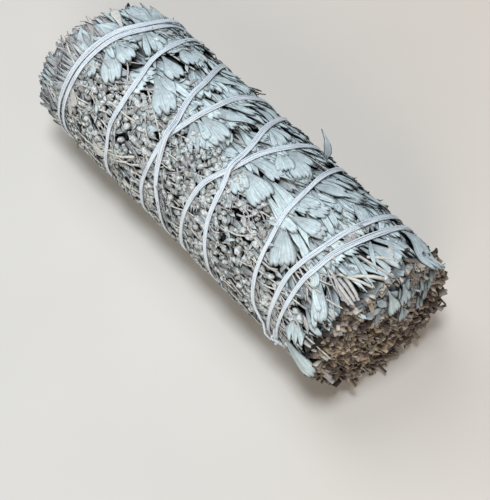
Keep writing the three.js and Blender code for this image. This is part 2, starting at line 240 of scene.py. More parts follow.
@dataclass(frozen=True)
class Bunch:
    """The bunch as a rounded, pressed cylinder, nipped in by its string."""

    axis_height: float = 20.2
    skin_radius: float = 20.5
    butt_x: float = 51.6
    tip_x: float = -51.2
    tip_slant: float = 4.2
    tip_slant_angle: float = 84.0
    nip_radius: float = 20.35
    bulge: float = 1.3
    bulge_start: float = 0.5
    bulge_reach: float = 3.6
    softness: float = 0.5
    down_share: float = 0.5
    tip_profile: tuple[Pair, ...] = ((-3, 13), (0, 17), (1.5, 18.8), (4, 20), (8, 20.5))
    butt_middle: float = 55.4
    butt_rim: tuple[Pair, ...] = (
        (-180, 57.8), (-140, 58.8), (-115, 59.0), (-95, 57.6), (-75, 54.8), (-35, 53.4), (0, 53), (45, 52),
        (108, 52.2), (150, 56.4), (180, 57.8),
    )
    butt_profile: tuple[Pair, ...] = ((-2, 18.2), (0, 19.2), (2, 20.1), (5, 20.5))
    flow_swing: float = 42.0
    bud_end: float = 127.5
    leaf_edge: tuple[Pair, ...] = (
        (-58, 30), (-46, 34), (-38, 33), (-30, 28), (-12, 24), (0, 26), (10, 20), (20, 21), (27, 34),
        (33, 48), (42, 60), (52, 74),
    )
    route: StringRoute = StringRoute()
    turns: list[list[float]] = field(default_factory=lambda: StringRoute().passes())

    @property
    def per_degree(self) -> float:
        """Return the way round the outside for each degree, in millimetres."""
        return math.radians(1) * self.skin_radius

    def place_of(self, point: Vector) -> Place:
        """Return x, the angle and the radius of a point given in metres."""
        across, up = point.y / MM, point.z / MM - self.axis_height
        return point.x / MM, math.degrees(math.atan2(-across, up)), math.hypot(across, up)

    def tip_at(self, angle: float) -> float:
        """Return x of the tip end at an angle: it reaches furthest on the -Y side."""
        return self.tip_x - self.tip_slant * math.cos(math.radians(angle - self.tip_slant_angle))

    def butt_at(self, angle: float, radius: float) -> float:
        """Return x of the cut butt at an angle and radius."""
        rim = along(self.butt_rim, (angle + 180) % 360 - 180)
        return mix(self.butt_middle, rim, (radius / self.skin_radius) ** 1.5)

    def is_leafy(self, x: float, angle: float) -> bool:
        """Return whether leaves, and not flower buds, cover a place on the spikes' side."""
        return angle < along(self.leaf_edge, x)

    def flow(self, x: float, angle: float) -> float:
        """Return the heading that the leaves share near a place, in degrees."""
        drift = noise.noise(Vector((x * 0.07, angle * 0.025, 3.0)))
        return self.flow_swing * drift

    def skin(self, x: float, angle: float) -> float:
        """Return the radius of the bunch's outside at a place.

        Args:
            x: Place along the bunch.
            angle: Place round the bunch, in degrees.

        Returns:
            The radius.
        """
        from_tip = along(self.tip_profile, x - self.tip_at(angle))
        from_butt = along(self.butt_profile, self.butt_x - x)
        return min(from_tip, from_butt)

    def pressed(self, x: float, angle: float, radius: float) -> float:
        """Hold a radius under the string's turns and above the surface that the bunch lies on.

        Args:
            x: Place along the bunch.
            angle: Place round the bunch, in degrees.
            radius: The radius wanted.

        Returns:
            The radius that the string and the surface leave.
        """
        gap = min(abs(x - turn) for turn in self.turns[int(angle) % 360])
        share = smooth((gap - self.bulge_start) / self.bulge_reach)
        radius = soft_cap(radius, self.nip_radius + self.bulge * share, self.softness)
        down = -math.cos(math.radians(angle))
        if down > self.down_share:
            radius = soft_cap(radius, self.axis_height / down, self.softness)
        return radius

    def point(self, x: float, angle: float, radius: float) -> Vector:
        """Return the point at a place, in metres.

        Args:
            x: Place along the bunch.
            angle: Place round the bunch, in degrees.
            radius: Distance from the axis.

        Returns:
            The point, held above the floor.
        """
        turn = math.radians(angle)
        across = -radius * math.sin(turn)
        up = self.axis_height + radius * math.cos(turn)
        return Vector((x, across, max(up, 0.0))) * MM

    def on_skin(self, x: float, angle: float, height: float, lift: float = 0.0) -> Vector:
        """Return the point at a height above the outside, held in by the string, plus a free lift."""
        radius = self.pressed(x, angle, self.skin(x, angle) + height)
        return self.point(x, angle, radius + lift)


BUNCH = Bunch()


# ---- Finishes ----------------------------------------------------------------


class Shader:
    """A material whose node tree is filled one node at a time."""

    def __init__(self, name: str) -> None:
        """Start an empty material.

        Args:
            name: The material's name.
        """
        self.material = bpy.data.materials.new(name)
        self.material.use_nodes = True
        self.tree = self.material.node_tree
        self.surface = self.tree.nodes["Principled BSDF"]

    def node(self, kind: str, inputs: dict, **settings: object) -> bpy.types.Node:
        """Add a node.

        Args:
            kind: The node's type, without its ShaderNode prefix.
            inputs: Values or sockets by input name or index.
            settings: The node's own properties.

        Returns:
            The new node.
        """
        made = self.tree.nodes.new("ShaderNode" + kind)
        for name, value in settings.items():
            setattr(made, name, value)
        for name, value in inputs.items():
            self.feed(made, name, value)
        return made

    def feed(self, node: bpy.types.Node, name: str | int, value: object) -> None:
        """Set one input of a node to a value, or link a socket to it.

        Args:
            node: The node.
            name: The input's name or number.
            value: The value or the socket.
        """
        if isinstance(value, Socket):
            self.tree.links.new(value, node.inputs[name])
        else:
            node.inputs[name].default_value = value

    def finish(self, **inputs: object) -> bpy.types.Material:
        """Set the surface's inputs, with _ for a space in each name, and return the material."""
        for name, value in inputs.items():
            self.feed(self.surface, name.replace("_", " "), value)
        return self.material

    def place(self) -> Socket:
        """Return the object coordinates of the surface."""
        return self.node("TexCoord", {}).outputs["Object"]

    def noise(self, scale: float, detail: float = 3.0) -> Socket:
        """Return noise from 0 to 1 whose grains are about 1000 / scale millimetres across."""
        inputs = {"Vector": self.place(), "Scale": scale, "Detail": detail}
        return self.node("TexNoise", inputs).outputs["Fac"]

    def marks(self) -> tuple[Socket, Socket, Socket]:
        """Return a piece's own marks: how far along it, how far across it, and its tone."""
        attribute = self.node("Attribute", {}, attribute_name=Clump.MARK)
        split = self.node("SeparateXYZ", {0: attribute.outputs["Vector"]})
        return split.outputs[0], split.outputs[1], split.outputs[2]

    def streaks(self) -> Socket:
        """Return noise from 0 to 1 drawn out along each piece, like veins or fibres."""
        length, across, tone = self.marks()
        run = self.maths("MULTIPLY", length, 1.6)
        side = self.maths("MULTIPLY", across, 7.0)
        which = self.maths("MULTIPLY", tone, 97.0)
        place = self.node("CombineXYZ", {0: run, 1: side, 2: which}).outputs[0]
        return self.node("TexNoise", {"Vector": place, "Scale": 1.0, "Detail": 2.0}).outputs["Fac"]

    def depth(self) -> Socket:
        """Return the painted shade factor of each point: 0 deep between the leaves, 1 at the outside."""
        return self.node("Attribute", {}, attribute_name=Clump.PAINTED_OPENNESS).outputs["Fac"]

    def maths(self, operation: str, first: object, second: object) -> Socket:
        """Return the result of a maths node on two values or sockets."""
        return self.node("Math", {0: first, 1: second}, operation=operation).outputs[0]

    def ramp(self, value: Socket, stops: Sequence[tuple[float, Colour]]) -> Socket:
        """Return a colour read from stops.

        Args:
            value: Where to read, from 0 to 1.
            stops: Places in rising order, each with its colour.

        Returns:
            The colour's socket.
        """
        made = self.node("ValToRGB", {"Fac": value})
        elements = made.color_ramp.elements
        while len(elements) < len(stops):
            elements.new(0.5)
        for element, (position, colour) in zip(elements, stops):
            element.position = position
            element.color = (*colour, 1)
        return made.outputs["Color"]

    def shaded(self, colour: Socket, by: Socket, start: Pair, end: Pair) -> Socket:
        """Return a colour multiplied by a grey that follows a value.

        Args:
            colour: The colour.
            by: The value that the grey follows.
            start: The value where the grey begins to change, and the grey up to there.
            end: The value where it ends to change, and the grey from there on.

        Returns:
            The shaded colour's socket.
        """
        grey = self.ramp(by, [(place, (shade,) * 3) for place, shade in (start, end)])
        inputs = {0: 1.0, 6: colour, 7: grey}
        made = self.node("Mix", inputs, data_type="RGBA", blend_type="MULTIPLY")
        return made.outputs[2]

    def bump(self, height: Socket, strength: float, distance: float) -> Socket:
        """Return a normal bumped by a height, with the distance in millimetres."""
        inputs = {"Height": height, "Strength": strength, "Distance": distance * MM}
        return self.node("Bump", inputs).outputs["Normal"]


@dataclass(frozen=True)
class PlantFinish:
    """Dry plant matter: colours by tone, painted shade in the depth, creases and leaf rims and bases, grain
    and ribs.
    """

    name: str
    colours: tuple[Colour, ...]
    # deep_shade, margin_shade, base_shade and scale_shade set how dark the painted shade gets.
    deep_shade: float = 0.3
    grain_scale: float = 900.0
    grain_bump: float = 0.35
    streak_bump: float = 0.0
    streak_shade: float = 0.0
    margin_shade: float = 0.0
    base_shade: float = 0.0
    scale_bump: float = 0.0
    scale_shade: float = 0.0
    blotch: float = 0.18
    roughness: float = 0.88

    def material(self) -> bpy.types.Material:
        """Return the finish as a material."""
        shader = Shader(self.name)
        length, across, tone = shader.marks()
        grain = shader.noise(self.grain_scale)
        patch = shader.noise(self.grain_scale / 4)
        spread = shader.maths("MULTIPLY", shader.maths("SUBTRACT", patch, 0.5), self.blotch * 2)
        last = len(self.colours) - 1
        stops = [(i / last, colour) for i, colour in enumerate(self.colours)]
        colour = shader.ramp(shader.maths("ADD", tone, spread), stops)
        height = grain
        if self.streak_bump:
            streak = shader.streaks()
            height = shader.maths("ADD", grain, shader.maths("MULTIPLY", streak, self.streak_bump))
            colour = shader.shaded(
                colour, streak, (0.25, 1 - 2 * self.streak_shade), (0.6, 1 + self.streak_shade)
            )
        # Painted shade: dark rims along each leaf's sides and tip, and a darker line along its sunk midrib.
        if self.margin_shade:
            side = shader.maths("ABSOLUTE", across, 0.0)
            edge = (1.0, 1 - self.margin_shade)
            colour = shader.shaded(colour, side, (0.76, 1.0), edge)
            colour = shader.shaded(colour, length, (0.92, 1.0), edge)
            colour = shader.shaded(colour, side, (0.0, 1 - self.margin_shade / 3), (0.12, 1.0))
        # Painted shade: darker toward each leaf's base, under the leaves that lie over it.
        if self.base_shade:
            colour = shader.shaded(colour, length, (0.1, 1 - self.base_shade), (0.65, 1.0))
        # The bud scales sink at their borders, and painted shade darkens those creases.
        if self.scale_bump:
            scales = shader.node("TexVoronoi", {"Vector": shader.place(), "Scale": self.grain_scale})
            sunk = shader.maths("MULTIPLY", scales.outputs[0], -self.scale_bump)
            height = shader.maths("ADD", height, sunk)
            colour = shader.shaded(colour, scales.outputs[0], (0.35, 1.0), (0.75, 1 - self.scale_shade))
        # Painted shade: darker the deeper a point lies and on lower sides, by each point's painted shade
        # factor.
        colour = shader.shaded(colour, shader.depth(), (0.0, self.deep_shade), (1.0, 1.0))
        colour = shader.shaded(colour, grain, (0.3, 0.8), (0.7, 1.06))
        normal = shader.bump(height, self.grain_bump, 0.25)
        return shader.finish(Base_Color=colour, Roughness=self.roughness, Normal=normal)


@dataclass(frozen=True)
class CottonFinish:
    """Undyed cotton: bluish white, with fibres along the strands, painted shade in their hollows and lower
    sides.
    """

    name: str = "cotton_string"
    colour: Colour = linear(222, 233, 242)
    # Painted shade: this darker colour fills where the fibre lines sink in.
    groove_shade: Colour = linear(172, 183, 202)
    fibre_scale: float = 2600.0

    def material(self) -> bpy.types.Material:
        """Return the finish as a material."""
        shader = Shader(self.name)
        length, across, tone = shader.marks()
        run = shader.maths("MULTIPLY", length, 260.0)
        which = shader.maths("MULTIPLY", tone, 31.0)
        side = shader.maths("ADD", shader.maths("MULTIPLY", across, 1.6), which)
        place = shader.node("CombineXYZ", {0: run, 1: side}).outputs[0]
        lines = shader.node("TexNoise", {"Vector": place, "Scale": 1.0, "Detail": 3.0}).outputs["Fac"]
        fibre = shader.noise(self.fibre_scale, 4.0)
        height = shader.maths("ADD", shader.maths("MULTIPLY", lines, 1.5), fibre)
        # Painted shade: darker where the fibre lines sink in.
        colour = shader.ramp(lines, [(0.34, self.groove_shade), (0.5, self.colour)])
        # Painted shade on each strand's lower side.
        colour = shader.shaded(colour, shader.depth(), (0.0, 0.3), (1.0, 1.0))
        return shader.finish(Base_Color=colour, Roughness=0.8, Normal=shader.bump(height, 0.4, 0.1))


@dataclass(frozen=True)
class FloorFinish:
    """The pale surface under the bunch."""

    name: str = "pale_floor"
    near_colour: Colour = linear(211, 213, 212)
    far_colour: Colour = linear(217, 208, 200)
    drift: float = 3.2

    def material(self) -> bpy.types.Material:
        """Return the finish as a material: it turns warmer toward +X and +Y."""
        shader = Shader(self.name)
        place = shader.node("SeparateXYZ", {0: shader.place()})
        run = shader.maths("ADD", shader.maths("MULTIPLY", place.outputs[0], 0.4), place.outputs[1])
        share = shader.maths("ADD", shader.maths("MULTIPLY", run, self.drift), 0.5)
        colour = shader.ramp(share, [(0.0, self.near_colour), (1.0, self.far_colour)])
        colour = shader.shaded(colour, shader.noise(14.0), (0.35, 0.96), (0.65, 1.0))
        return shader.finish(Base_Color=colour, Roughness=0.75)


class Stuff(Enum):
    """What a face of a clump is made of; the value is its material slot."""

    PACKING = 0
    LEAF = 1
    BUD = 2
    STRAW = 3
    CHAFF = 4
    BARK = 5
    WOOD = 6


PACKING, LEAF, BUD, STRAW, CHAFF, BARK, WOOD = Stuff


FINISHES = {
    # Painted shade: the packing is coloured near black so that it shows as the shade between the outer
    # leaves.
    PACKING: PlantFinish(
        "packed_leaf_shade", shades((34, 31, 28), (58, 53, 48)), deep_shade=0.6, grain_scale=700.0
    ),
    LEAF: PlantFinish(
        "sage_leaf",
        shades((165, 171, 178), (189, 205, 213), (203, 222, 229), (213, 232, 238), (225, 237, 231)),
        deep_shade=0.04, streak_bump=0.6, streak_shade=0.12, margin_shade=0.58, base_shade=0.35,
    ),
    BUD: PlantFinish(
        "flower_bud",
        shades((168, 170, 168), (212, 219, 220), (230, 238, 241), (240, 247, 250)),
        deep_shade=0.02, grain_scale=1500.0, grain_bump=0.9, scale_bump=1.2, scale_shade=0.44, blotch=0.25,
    ),
    STRAW: PlantFinish(
        "fine_stalk",
        shades((150, 146, 150), (182, 181, 183), (206, 207, 205), (222, 224, 217)),
        deep_shade=0.05, grain_scale=1400.0,
    ),
    CHAFF: PlantFinish(
        "cut_butt_chaff",
        shades(
            (72, 61, 58), (124, 108, 102), (160, 144, 136), (182, 175, 168), (222, 217, 208), (206, 165, 122)
        ),
        deep_shade=0.04, grain_scale=1100.0, grain_bump=0.7, blotch=0.2,
    ),
    BARK: PlantFinish(
        "stem_bark",
        shades((84, 74, 68), (127, 113, 99), (167, 152, 132), (202, 187, 160)),
        deep_shade=0.05, grain_scale=1300.0, grain_bump=0.8, blotch=0.25,
    ),
    WOOD: PlantFinish(
        "cut_wood",
        shades((150, 128, 100), (188, 168, 138), (214, 202, 178)),
        deep_shade=0.5, grain_scale=1800.0, grain_bump=0.5,
    ),
}


# ---- Patterns that are copied many times -------------------------------------


LEAF_THICKNESS = 0.3


class LeafForm(Enum):
    """The leaf shapes that a sagebrush bears."""

    WEDGE = "wedge"
    PALM = "palm"
    FAN = "fan"
    NARROW = "narrow"
    BLADE = "blade"


WEDGE, PALM, FAN, NARROW, BLADE = LeafForm


@dataclass(frozen=True)
class LeafPattern:
    """A leaf's outline and relief, given to an even grid of x from 0 to 1 and y from -1 to 1."""

    form: LeafForm
    teeth: int
    rows: int
    columns: int
    notch: float
    shoulder: float
    stalk: float
    ridge: float = 0.1
    rib: float = 0.1
    roundness: float = 0.1
    row_bias: float = 0.85

    def half_width(self, share: float) -> float:
        """Return the leaf's half width at a share of its length.

        Args:
            share: The share, from 0 to 1.

        Returns:
            The half width, from 0 to 1.
        """
        if self.form is BLADE:
            return max(self.stalk, math.sin(math.pi * min(share, 1.0) ** 0.8) ** 0.6)
        widened = mix(self.stalk, 1.0, smooth(share / self.shoulder) ** 1.15)
        past = max(0.0, share - self.shoulder) / (1 - self.shoulder)
        return widened * (1 - 0.08 * past)

    def dip(self, across: float) -> float:
        """Return how deep the edge dips at a place across the leaf: 0 on a lobe, 1 between two.

        Args:
            across: The place, from -1 to 1.

        Returns:
            The depth of the dip.
        """
        if self.teeth == 1:
            return across * across
        phase = 0.5 * self.teeth * (across + 1) - 0.5
        return abs(math.sin(math.pi * phase)) ** 5

    def shaped(self, point: Vector) -> Vector:
        """Take a point of the even grid to its place on the leaf, its height still in millimetres.

        Args:
            point: The grid's point.

        Returns:
            The leaf's point.
        """
        share, across = point.x, point.y
        dip = self.dip(across)
        reach = 1 - self.roundness * across * across - self.notch * dip
        length = share * mix(1.0, reach, smooth((share - 0.4) / 0.6))
        relief = self.ridge * (0.5 - dip) * smooth((share - 0.4) / 0.5)
        relief -= self.rib * max(0.0, 1 - 5 * abs(across)) * (1 - share)
        return Vector((length, across * self.half_width(share), relief + point.z))

    def grid(self) -> Mesh:
        """Return the even grid as a thin closed mesh."""
        work = bmesh.new()
        bmesh.ops.create_grid(work, x_segments=self.rows, y_segments=self.columns, size=0.5)
        bmesh.ops.solidify(work, geom=work.faces[:], thickness=LEAF_THICKNESS)
        middle = sum(vert.co.z for vert in work.verts) / len(work.verts)
        for vert in work.verts:
            vert.co = Vector(((vert.co.x + 0.5) ** self.row_bias, vert.co.y * 2, vert.co.z - middle))
        bmesh.ops.recalc_face_normals(work, faces=work.faces)
        return as_mesh(work, "leaf_" + self.form.value)


def as_mesh(work: bmesh.types.BMesh, name: str, is_smooth: bool | None = True) -> Mesh:
    """Turn a bmesh into a mesh and free it.

    Args:
        work: The bmesh.
        name: The mesh's name.
        is_smooth: Whether its faces are shaded smooth; if None, each face stays as it is.

    Returns:
        The mesh.
    """
    if is_smooth is not None:
        for face in work.faces:
            face.smooth = is_smooth
    mesh = bpy.data.meshes.new(name)
    work.to_mesh(mesh)
    work.free()
    return mesh


@dataclass(frozen=True)
class BudPattern:
    """A scaly, lumpy bud head of radius 1, a little longer along x than it is wide."""

    seed: int
    scales_round: int = 4
    scales_along: int = 6
    scale_height: float = 0.09
    lump: float = 0.3
    lumps_across: float = 1.7
    stretch: float = 1.15

    def mesh(self) -> Mesh:
        """Return the bud head as a mesh."""
        work = bmesh.new()
        bmesh.ops.create_uvsphere(work, u_segments=8, v_segments=6, radius=1.0)
        for vert in work.verts:
            around = math.atan2(vert.co.y, vert.co.x)
            down = math.acos(max(min(vert.co.z, 1), -1))
            scales = self.scale_height * math.cos(self.scales_round * around)
            scales *= math.cos(self.scales_along * down)
            lump = noise.noise(vert.co * self.lumps_across + Vector((self.seed * 3, 0, 0)))
            size = 1 + scales + self.lump * lump
            vert.co = Vector((vert.co.z * self.stretch, vert.co.x, vert.co.y)) * size
        bmesh.ops.recalc_face_normals(work, faces=work.faces)
        return as_mesh(work, f"bud_head_{self.seed}", False)


def lay_along_x(work: bmesh.types.BMesh) -> None:
    """Turn an upright mesh so that its axis lies along x, its faces pointing out."""
    bmesh.ops.transform(work, matrix=Matrix.Rotation(math.radians(90), 4, "Y"), verts=work.verts)
    bmesh.ops.recalc_face_normals(work, faces=work.faces)


def rod_mesh(sides: int, rings: int, cut_rim: float = 0.0) -> Mesh:
    """Return a rod of radius 1 whose x runs from 0 to 1, closed at both ends.

    Args:
        sides: Faces round it.
        rings: Faces along it.
        cut_rim: Width of the bark round the cut wood at its x = 1 end; 0 leaves the end plain.

    Returns:
        The rod; the cut wood has material index 1.
    """
    work = bmesh.new()
    bmesh.ops.create_cone(work, cap_ends=True, segments=sides, radius1=1.0, radius2=1.0, depth=1.0)
    long_edges = [edge for edge in work.edges if abs(edge.verts[0].co.z - edge.verts[1].co.z) > 0.5]
    bmesh.ops.subdivide_edges(work, edges=long_edges, cuts=rings - 1, use_grid_fill=True)
    lay_along_x(work)
    bmesh.ops.translate(work, verts=work.verts, vec=Vector((0.5, 0, 0)))
    if cut_rim:
        ends = [face for face in work.faces if face.normal.x > 0.9]
        bmesh.ops.inset_region(work, faces=ends, thickness=cut_rim)
        for face in ends:
            face.material_index = 1
    return as_mesh(work, f"rod_{sides}_{rings}")


def flake_mesh() -> Mesh:
    """Return an angular splinter about 1 long, 1 wide and 1 thick, centred on its middle."""
    work = bmesh.new()
    bmesh.ops.create_cone(work, cap_ends=True, segments=5, radius1=0.5, radius2=0.32, depth=1.0)
    lay_along_x(work)
    return as_mesh(work, "flake", False)


def merged_copy(node: str) -> Mesh:
    """Return a copy of a CAD node's mesh with its loose triangles joined.

    Args:
        node: The node's name.

    Returns:
        The copy.
    """
    work = bmesh.new()
    work.from_mesh(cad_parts[node].data)
    bmesh.ops.remove_doubles(work, verts=work.verts, dist=0.00001)
    return as_mesh(work, node + "_copy")


class Patterns:
    """The shapes that the clumps copy: coarse ones for the many, fine leaves for the few on top."""

    BUD_KINDS = 4

    def __init__(self) -> None:
        """Build every pattern once."""
        # Form, teeth, rows, columns, notch, shoulder, stalk and, where it isn't the usual one, ridge.
        self.leaves = self.by_form(
            LeafPattern(WEDGE, 3, 3, 6, 0.13, 0.74, 0.14),
            LeafPattern(PALM, 3, 3, 6, 0.28, 0.9, 0.16),
            LeafPattern(FAN, 3, 3, 6, 0.1, 0.8, 0.1),
            LeafPattern(NARROW, 1, 4, 4, 0.1, 0.6, 0.3),
            LeafPattern(BLADE, 1, 5, 2, 0.12, 0.5, 0.14, 0.2),
        )
        self.fine_leaves = self.by_form(
            LeafPattern(WEDGE, 3, 8, 18, 0.12, 0.74, 0.12),
            LeafPattern(PALM, 3, 9, 18, 0.3, 0.86, 0.14, 0.12),
            LeafPattern(FAN, 5, 8, 20, 0.07, 0.84, 0.1, roundness=0.03),
            LeafPattern(NARROW, 3, 8, 12, 0.05, 0.8, 0.3, 0.08),
            LeafPattern(BLADE, 1, 9, 6, 0.12, 0.5, 0.14, 0.2),
        )
        self.grids = {leaf: leaf.grid() for leaf in (*self.leaves.values(), *self.fine_leaves.values())}
        self.buds = [BudPattern(i).mesh() for i in range(self.BUD_KINDS)]
        self.rod = rod_mesh(5, 4)
        self.twig = rod_mesh(4, 2)
        self.cut_twig = rod_mesh(6, 3, 0.3)
        self.flake = flake_mesh()

    def by_form(self, *leaves: LeafPattern) -> dict[LeafForm, LeafPattern]:
        """Return leaf patterns by their forms."""
        return {leaf.form: leaf for leaf in leaves}


# ---- Laying the pieces down --------------------------------------------------


@dataclass(frozen=True)
class Lie:
    """How one small shape lies on the bunch, from the end that its x starts at."""

    x: float
    angle: float
    heading: float
    length: float
    half_width: float
    start_height: float
    end_height: float
    cup: float = 0.0
    curl: float = 0.0
    fold: float = 0.0
    bow: float = 0.0
    twist: float = 0.0
    flat: float = 1.0
    lift: float = 0.0

    NARROWEST = 6.0

    def spot(self, share: float, across: float) -> Spot:
        """Return x and the angle of a place on the shape.

        Args:
            share: How far along the shape.
            across: How far across it, from -1 to 1.

        Returns:
            x and the angle.
        """
        turn = math.radians(self.heading)
        ahead, aside = math.cos(turn), math.sin(turn)
        per_degree = math.radians(1) * max(BUNCH.skin(self.x, self.angle), self.NARROWEST)
        run = share * self.length
        side = across * self.half_width + self.bow * math.sin(math.pi * min(share, 1.0))
        x = self.x + run * ahead - side * aside
        return x, self.angle + (run * aside + side * ahead) / per_degree

    def mover(self) -> Mover:
        """Return the function that takes a pattern's point to its place on the bunch."""

        def put(point: Vector) -> Vector:
            """Place one point of the pattern."""
            x, angle = self.spot(point.x, point.y)
            height = mix(self.start_height, self.end_height, point.x) + point.z * self.flat
            height += self.cup * point.y * point.y * point.x + self.curl * point.x ** 3
            height += self.fold * abs(point.y) + self.twist * point.y * (point.x - 0.4)
            return BUNCH.on_skin(x, angle, height, self.lift * max(point.x, 0.0) ** 1.5)

        return put


def add_object(name: str, data: bpy.types.ID) -> Object:
    """Return a new object, linked to the scene.

    Args:
        name: Its name.
        data: Its mesh, lamp or camera.

    Returns:
        The object.
    """
    made = bpy.data.objects.new(name, data)
    bpy.context.scene.collection.objects.link(made)
    return made


class Clump:
    """Many small shapes gathered in one mesh, each with its marks and its painted shade."""

    MARK = "mark"
    # Each point's painted shade factor, and how that painted shade deepens under the bunch's outside.
    PAINTED_OPENNESS = "painted_openness"
    OPEN_ABOVE = -0.3
    SHADE_DEPTH = 1.35
    FAR_SHADE_DEPTH = 0.5
    FAR_SIDE_START = -10
    FAR_SIDE_REACH = 30
    BUD_SHADE_DEPTH = 0.52

    def __init__(self, patterns: Patterns, seed: int) -> None:
        """Start an empty clump.

        Args:
            patterns: The shapes to copy.
            seed: The seed of the clump's own chance.
        """
        self.patterns = patterns
        self.chance = random.Random(seed)
        self.work = bmesh.new()
        self.mark = self.work.verts.layers.float_vector.new(self.MARK)
        self.painted_openness = self.work.verts.layers.float.new(self.PAINTED_OPENNESS)

    def add(
        self, pattern: Mesh, put: Mover, stuff: Stuff, tone: float, painted_openness: PaintedOpenness = None,
        underside_shade: float = 1.0, depth: float = 1.0, waist: float = 0.0, core: Stuff | None = None,
    ) -> None:
        """Copy a pattern into the clump.

        Args:
            pattern: The shape to copy.
            put: Takes each of its points to its place, in metres.
            stuff: What it is made of.
            tone: Where its colour lies in its finish, from 0 to 1.
            painted_openness: Painted shade: how open it lies, or what gives that for each point; if None,
                its depth does.
            underside_shade: Painted shade: how open its lower side is beside its top.
            depth: The height, in the pattern, over which its top turns into its lower side.
            waist: The height, in the pattern, at the middle of that.
            core: What the pattern's faces of material index 1 are made of; if None, stuff.
        """
        first_vert, first_face = len(self.work.verts), len(self.work.faces)
        opens = self.painted_openness_at if painted_openness is None else painted_openness
        self.work.from_mesh(pattern)
        self.work.verts.ensure_lookup_table()
        self.work.faces.ensure_lookup_table()
        for vert in self.work.verts[first_vert:]:
            local = vert.co.copy()
            vert.co = put(local)
            vert.co.z = max(vert.co.z, 0.0)
            vert[self.mark] = (local.x, local.y, tone)
            shown = opens(vert.co) if callable(opens) else opens
            # Painted shade: darker the deeper the point lies, and darker below the pattern's waist.
            vert[self.painted_openness] = shown * mix(underside_shade, 1.0, smooth(0.5 + (local.z - waist) / depth))
        for face in self.work.faces[first_face:]:
            face.material_index = (core if core and face.material_index else stuff).value

    def painted_openness_at(self, point: Vector) -> float:
        """Return how open a point lies by its depth under the bunch's outside, which sets its painted shade.

        Args:
            point: The point, in metres.

        Returns:
            0 deep inside, 1 at the outside.
        """
        x, angle, radius = BUNCH.place_of(point)
        depth = BUNCH.skin(x, angle) + self.OPEN_ABOVE - radius
        if 0 < angle < BUNCH.bud_end and not BUNCH.is_leafy(x, angle):
            return 1 - smooth(depth / self.BUD_SHADE_DEPTH)
        share = smooth((self.FAR_SIDE_START - angle) / self.FAR_SIDE_REACH)
        return 1 - smooth(depth / (self.SHADE_DEPTH + self.FAR_SHADE_DEPTH * share))

    def leaf(
        self, form: LeafForm, put: Mover, tone: float, stuff: Stuff = LEAF, is_fine: bool = False,
        painted_openness: PaintedOpenness = None,
    ) -> None:
        """Add one leaf.

        Args:
            form: Its shape.
            put: Takes each of its points to its place, in metres.
            tone: Where its colour lies in its finish, from 0 to 1.
            stuff: What it is made of.
            is_fine: Whether it is one of the few that show most.
            painted_openness: Painted shade: how open it lies, or what gives that for each point; if None,
                its depth does.
        """
        shape = (self.patterns.fine_leaves if is_fine else self.patterns.leaves)[form]
        # Painted shade on the leaf's lower face and rim.
        self.add(
            self.patterns.grids[shape], lambda point: put(shape.shaped(point)), stuff, tone, painted_openness,
            underside_shade=0.12, depth=LEAF_THICKNESS,
        )

    def bud(self, x: float, angle: float, height: float, radius: float, tone: float) -> None:
        """Lay one bud head down.

        Args:
            x: Place along the bunch.
            angle: Place round the bunch, in degrees.
            height: Height of its middle above the outside.
            radius: Its radius.
            tone: Where its colour lies in its finish, from 0 to 1.
        """
        heading = self.chance.uniform(-60, 60)
        wide = radius * self.chance.uniform(0.85, 1.1)
        long = radius * self.chance.uniform(0.85, 1.4)
        lie = Lie(x, angle, heading, long, wide, height, height, flat=radius)
        pattern = self.chance.choice(self.patterns.buds)
        # Painted shade: each bud darkens below its waist.
        self.add(pattern, lie.mover(), BUD, tone, underside_shade=0.04, depth=1.3, waist=0.32)

    def rod(self, lie: Lie, tone: float, is_short: bool = False) -> None:
        """Lay one fine stalk down."""
        pattern = self.patterns.twig if is_short else self.patterns.rod
        # Painted shade on the stalk's lower side.
        self.add(pattern, lie.mover(), STRAW, tone, underside_shade=0.12, depth=1.6)

    def cut_twig(self, lie: Lie, tone: float, stuff: Stuff = STRAW) -> None:
        """Lay one thicker stalk down, with its cut wood at the far end."""
        pattern = self.patterns.cut_twig
        # Painted shade on the stalk's lower side.
        self.add(pattern, lie.mover(), stuff, tone, underside_shade=0.3, depth=1.8, core=WOOD)

    def piece(
        self, name: str, slot: str, nodes: Sequence[str], materials: Sequence[bpy.types.Material] = (),
    ) -> Object:
        """Finish the clump as a piece that stands for CAD nodes.

        Args:
            name: The piece's name.
            slot: Not used.
            nodes: The CAD nodes that it stands for.
            materials: Its materials; if there are none, those of every stuff.

        Returns:
            The piece.
        """
        mesh = as_mesh(self.work, name, None)
        for material in materials or [MATERIALS[stuff] for stuff in Stuff]:
            mesh.materials.append(material)
        piece = add_object(name, mesh)
        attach(piece, BODY)
        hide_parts(*nodes)
        return piece


MATERIALS = {stuff: finish.material() for stuff, finish in FINISHES.items()}


# ---- Sub-assemblies ----------------------------------------------------------


@dataclass(frozen=True)
class Bends:
    """The ranges within which the leaves of a layer bend by chance, in millimetres."""

    cup: Range
    curl: Range
    fold: Range
    bow: Range
    twist: Range

    def draw(self, chance: random.Random) -> dict[str, float]:
        """Return one leaf's bends, each drawn from its range in turn."""
        return {name: chance.uniform(*reach) for name, reach in vars(self).items()}


@dataclass(frozen=True)
class LeafLayer:
    """One layer of single leaves of a sprig or spike."""

    form: LeafForm
    count: int
    length: Range
    half_width: Range
    height: float
    rise: float = 1.5
    heading: float = 0.0
    heading_spread: float = 12.0
    tone: float = 0.5

    BENDS = Bends((-0.35, 0.6), (-0.3, 0.35), (-0.3, 0.5), (-0.8, 0.8), (-0.4, 0.4))


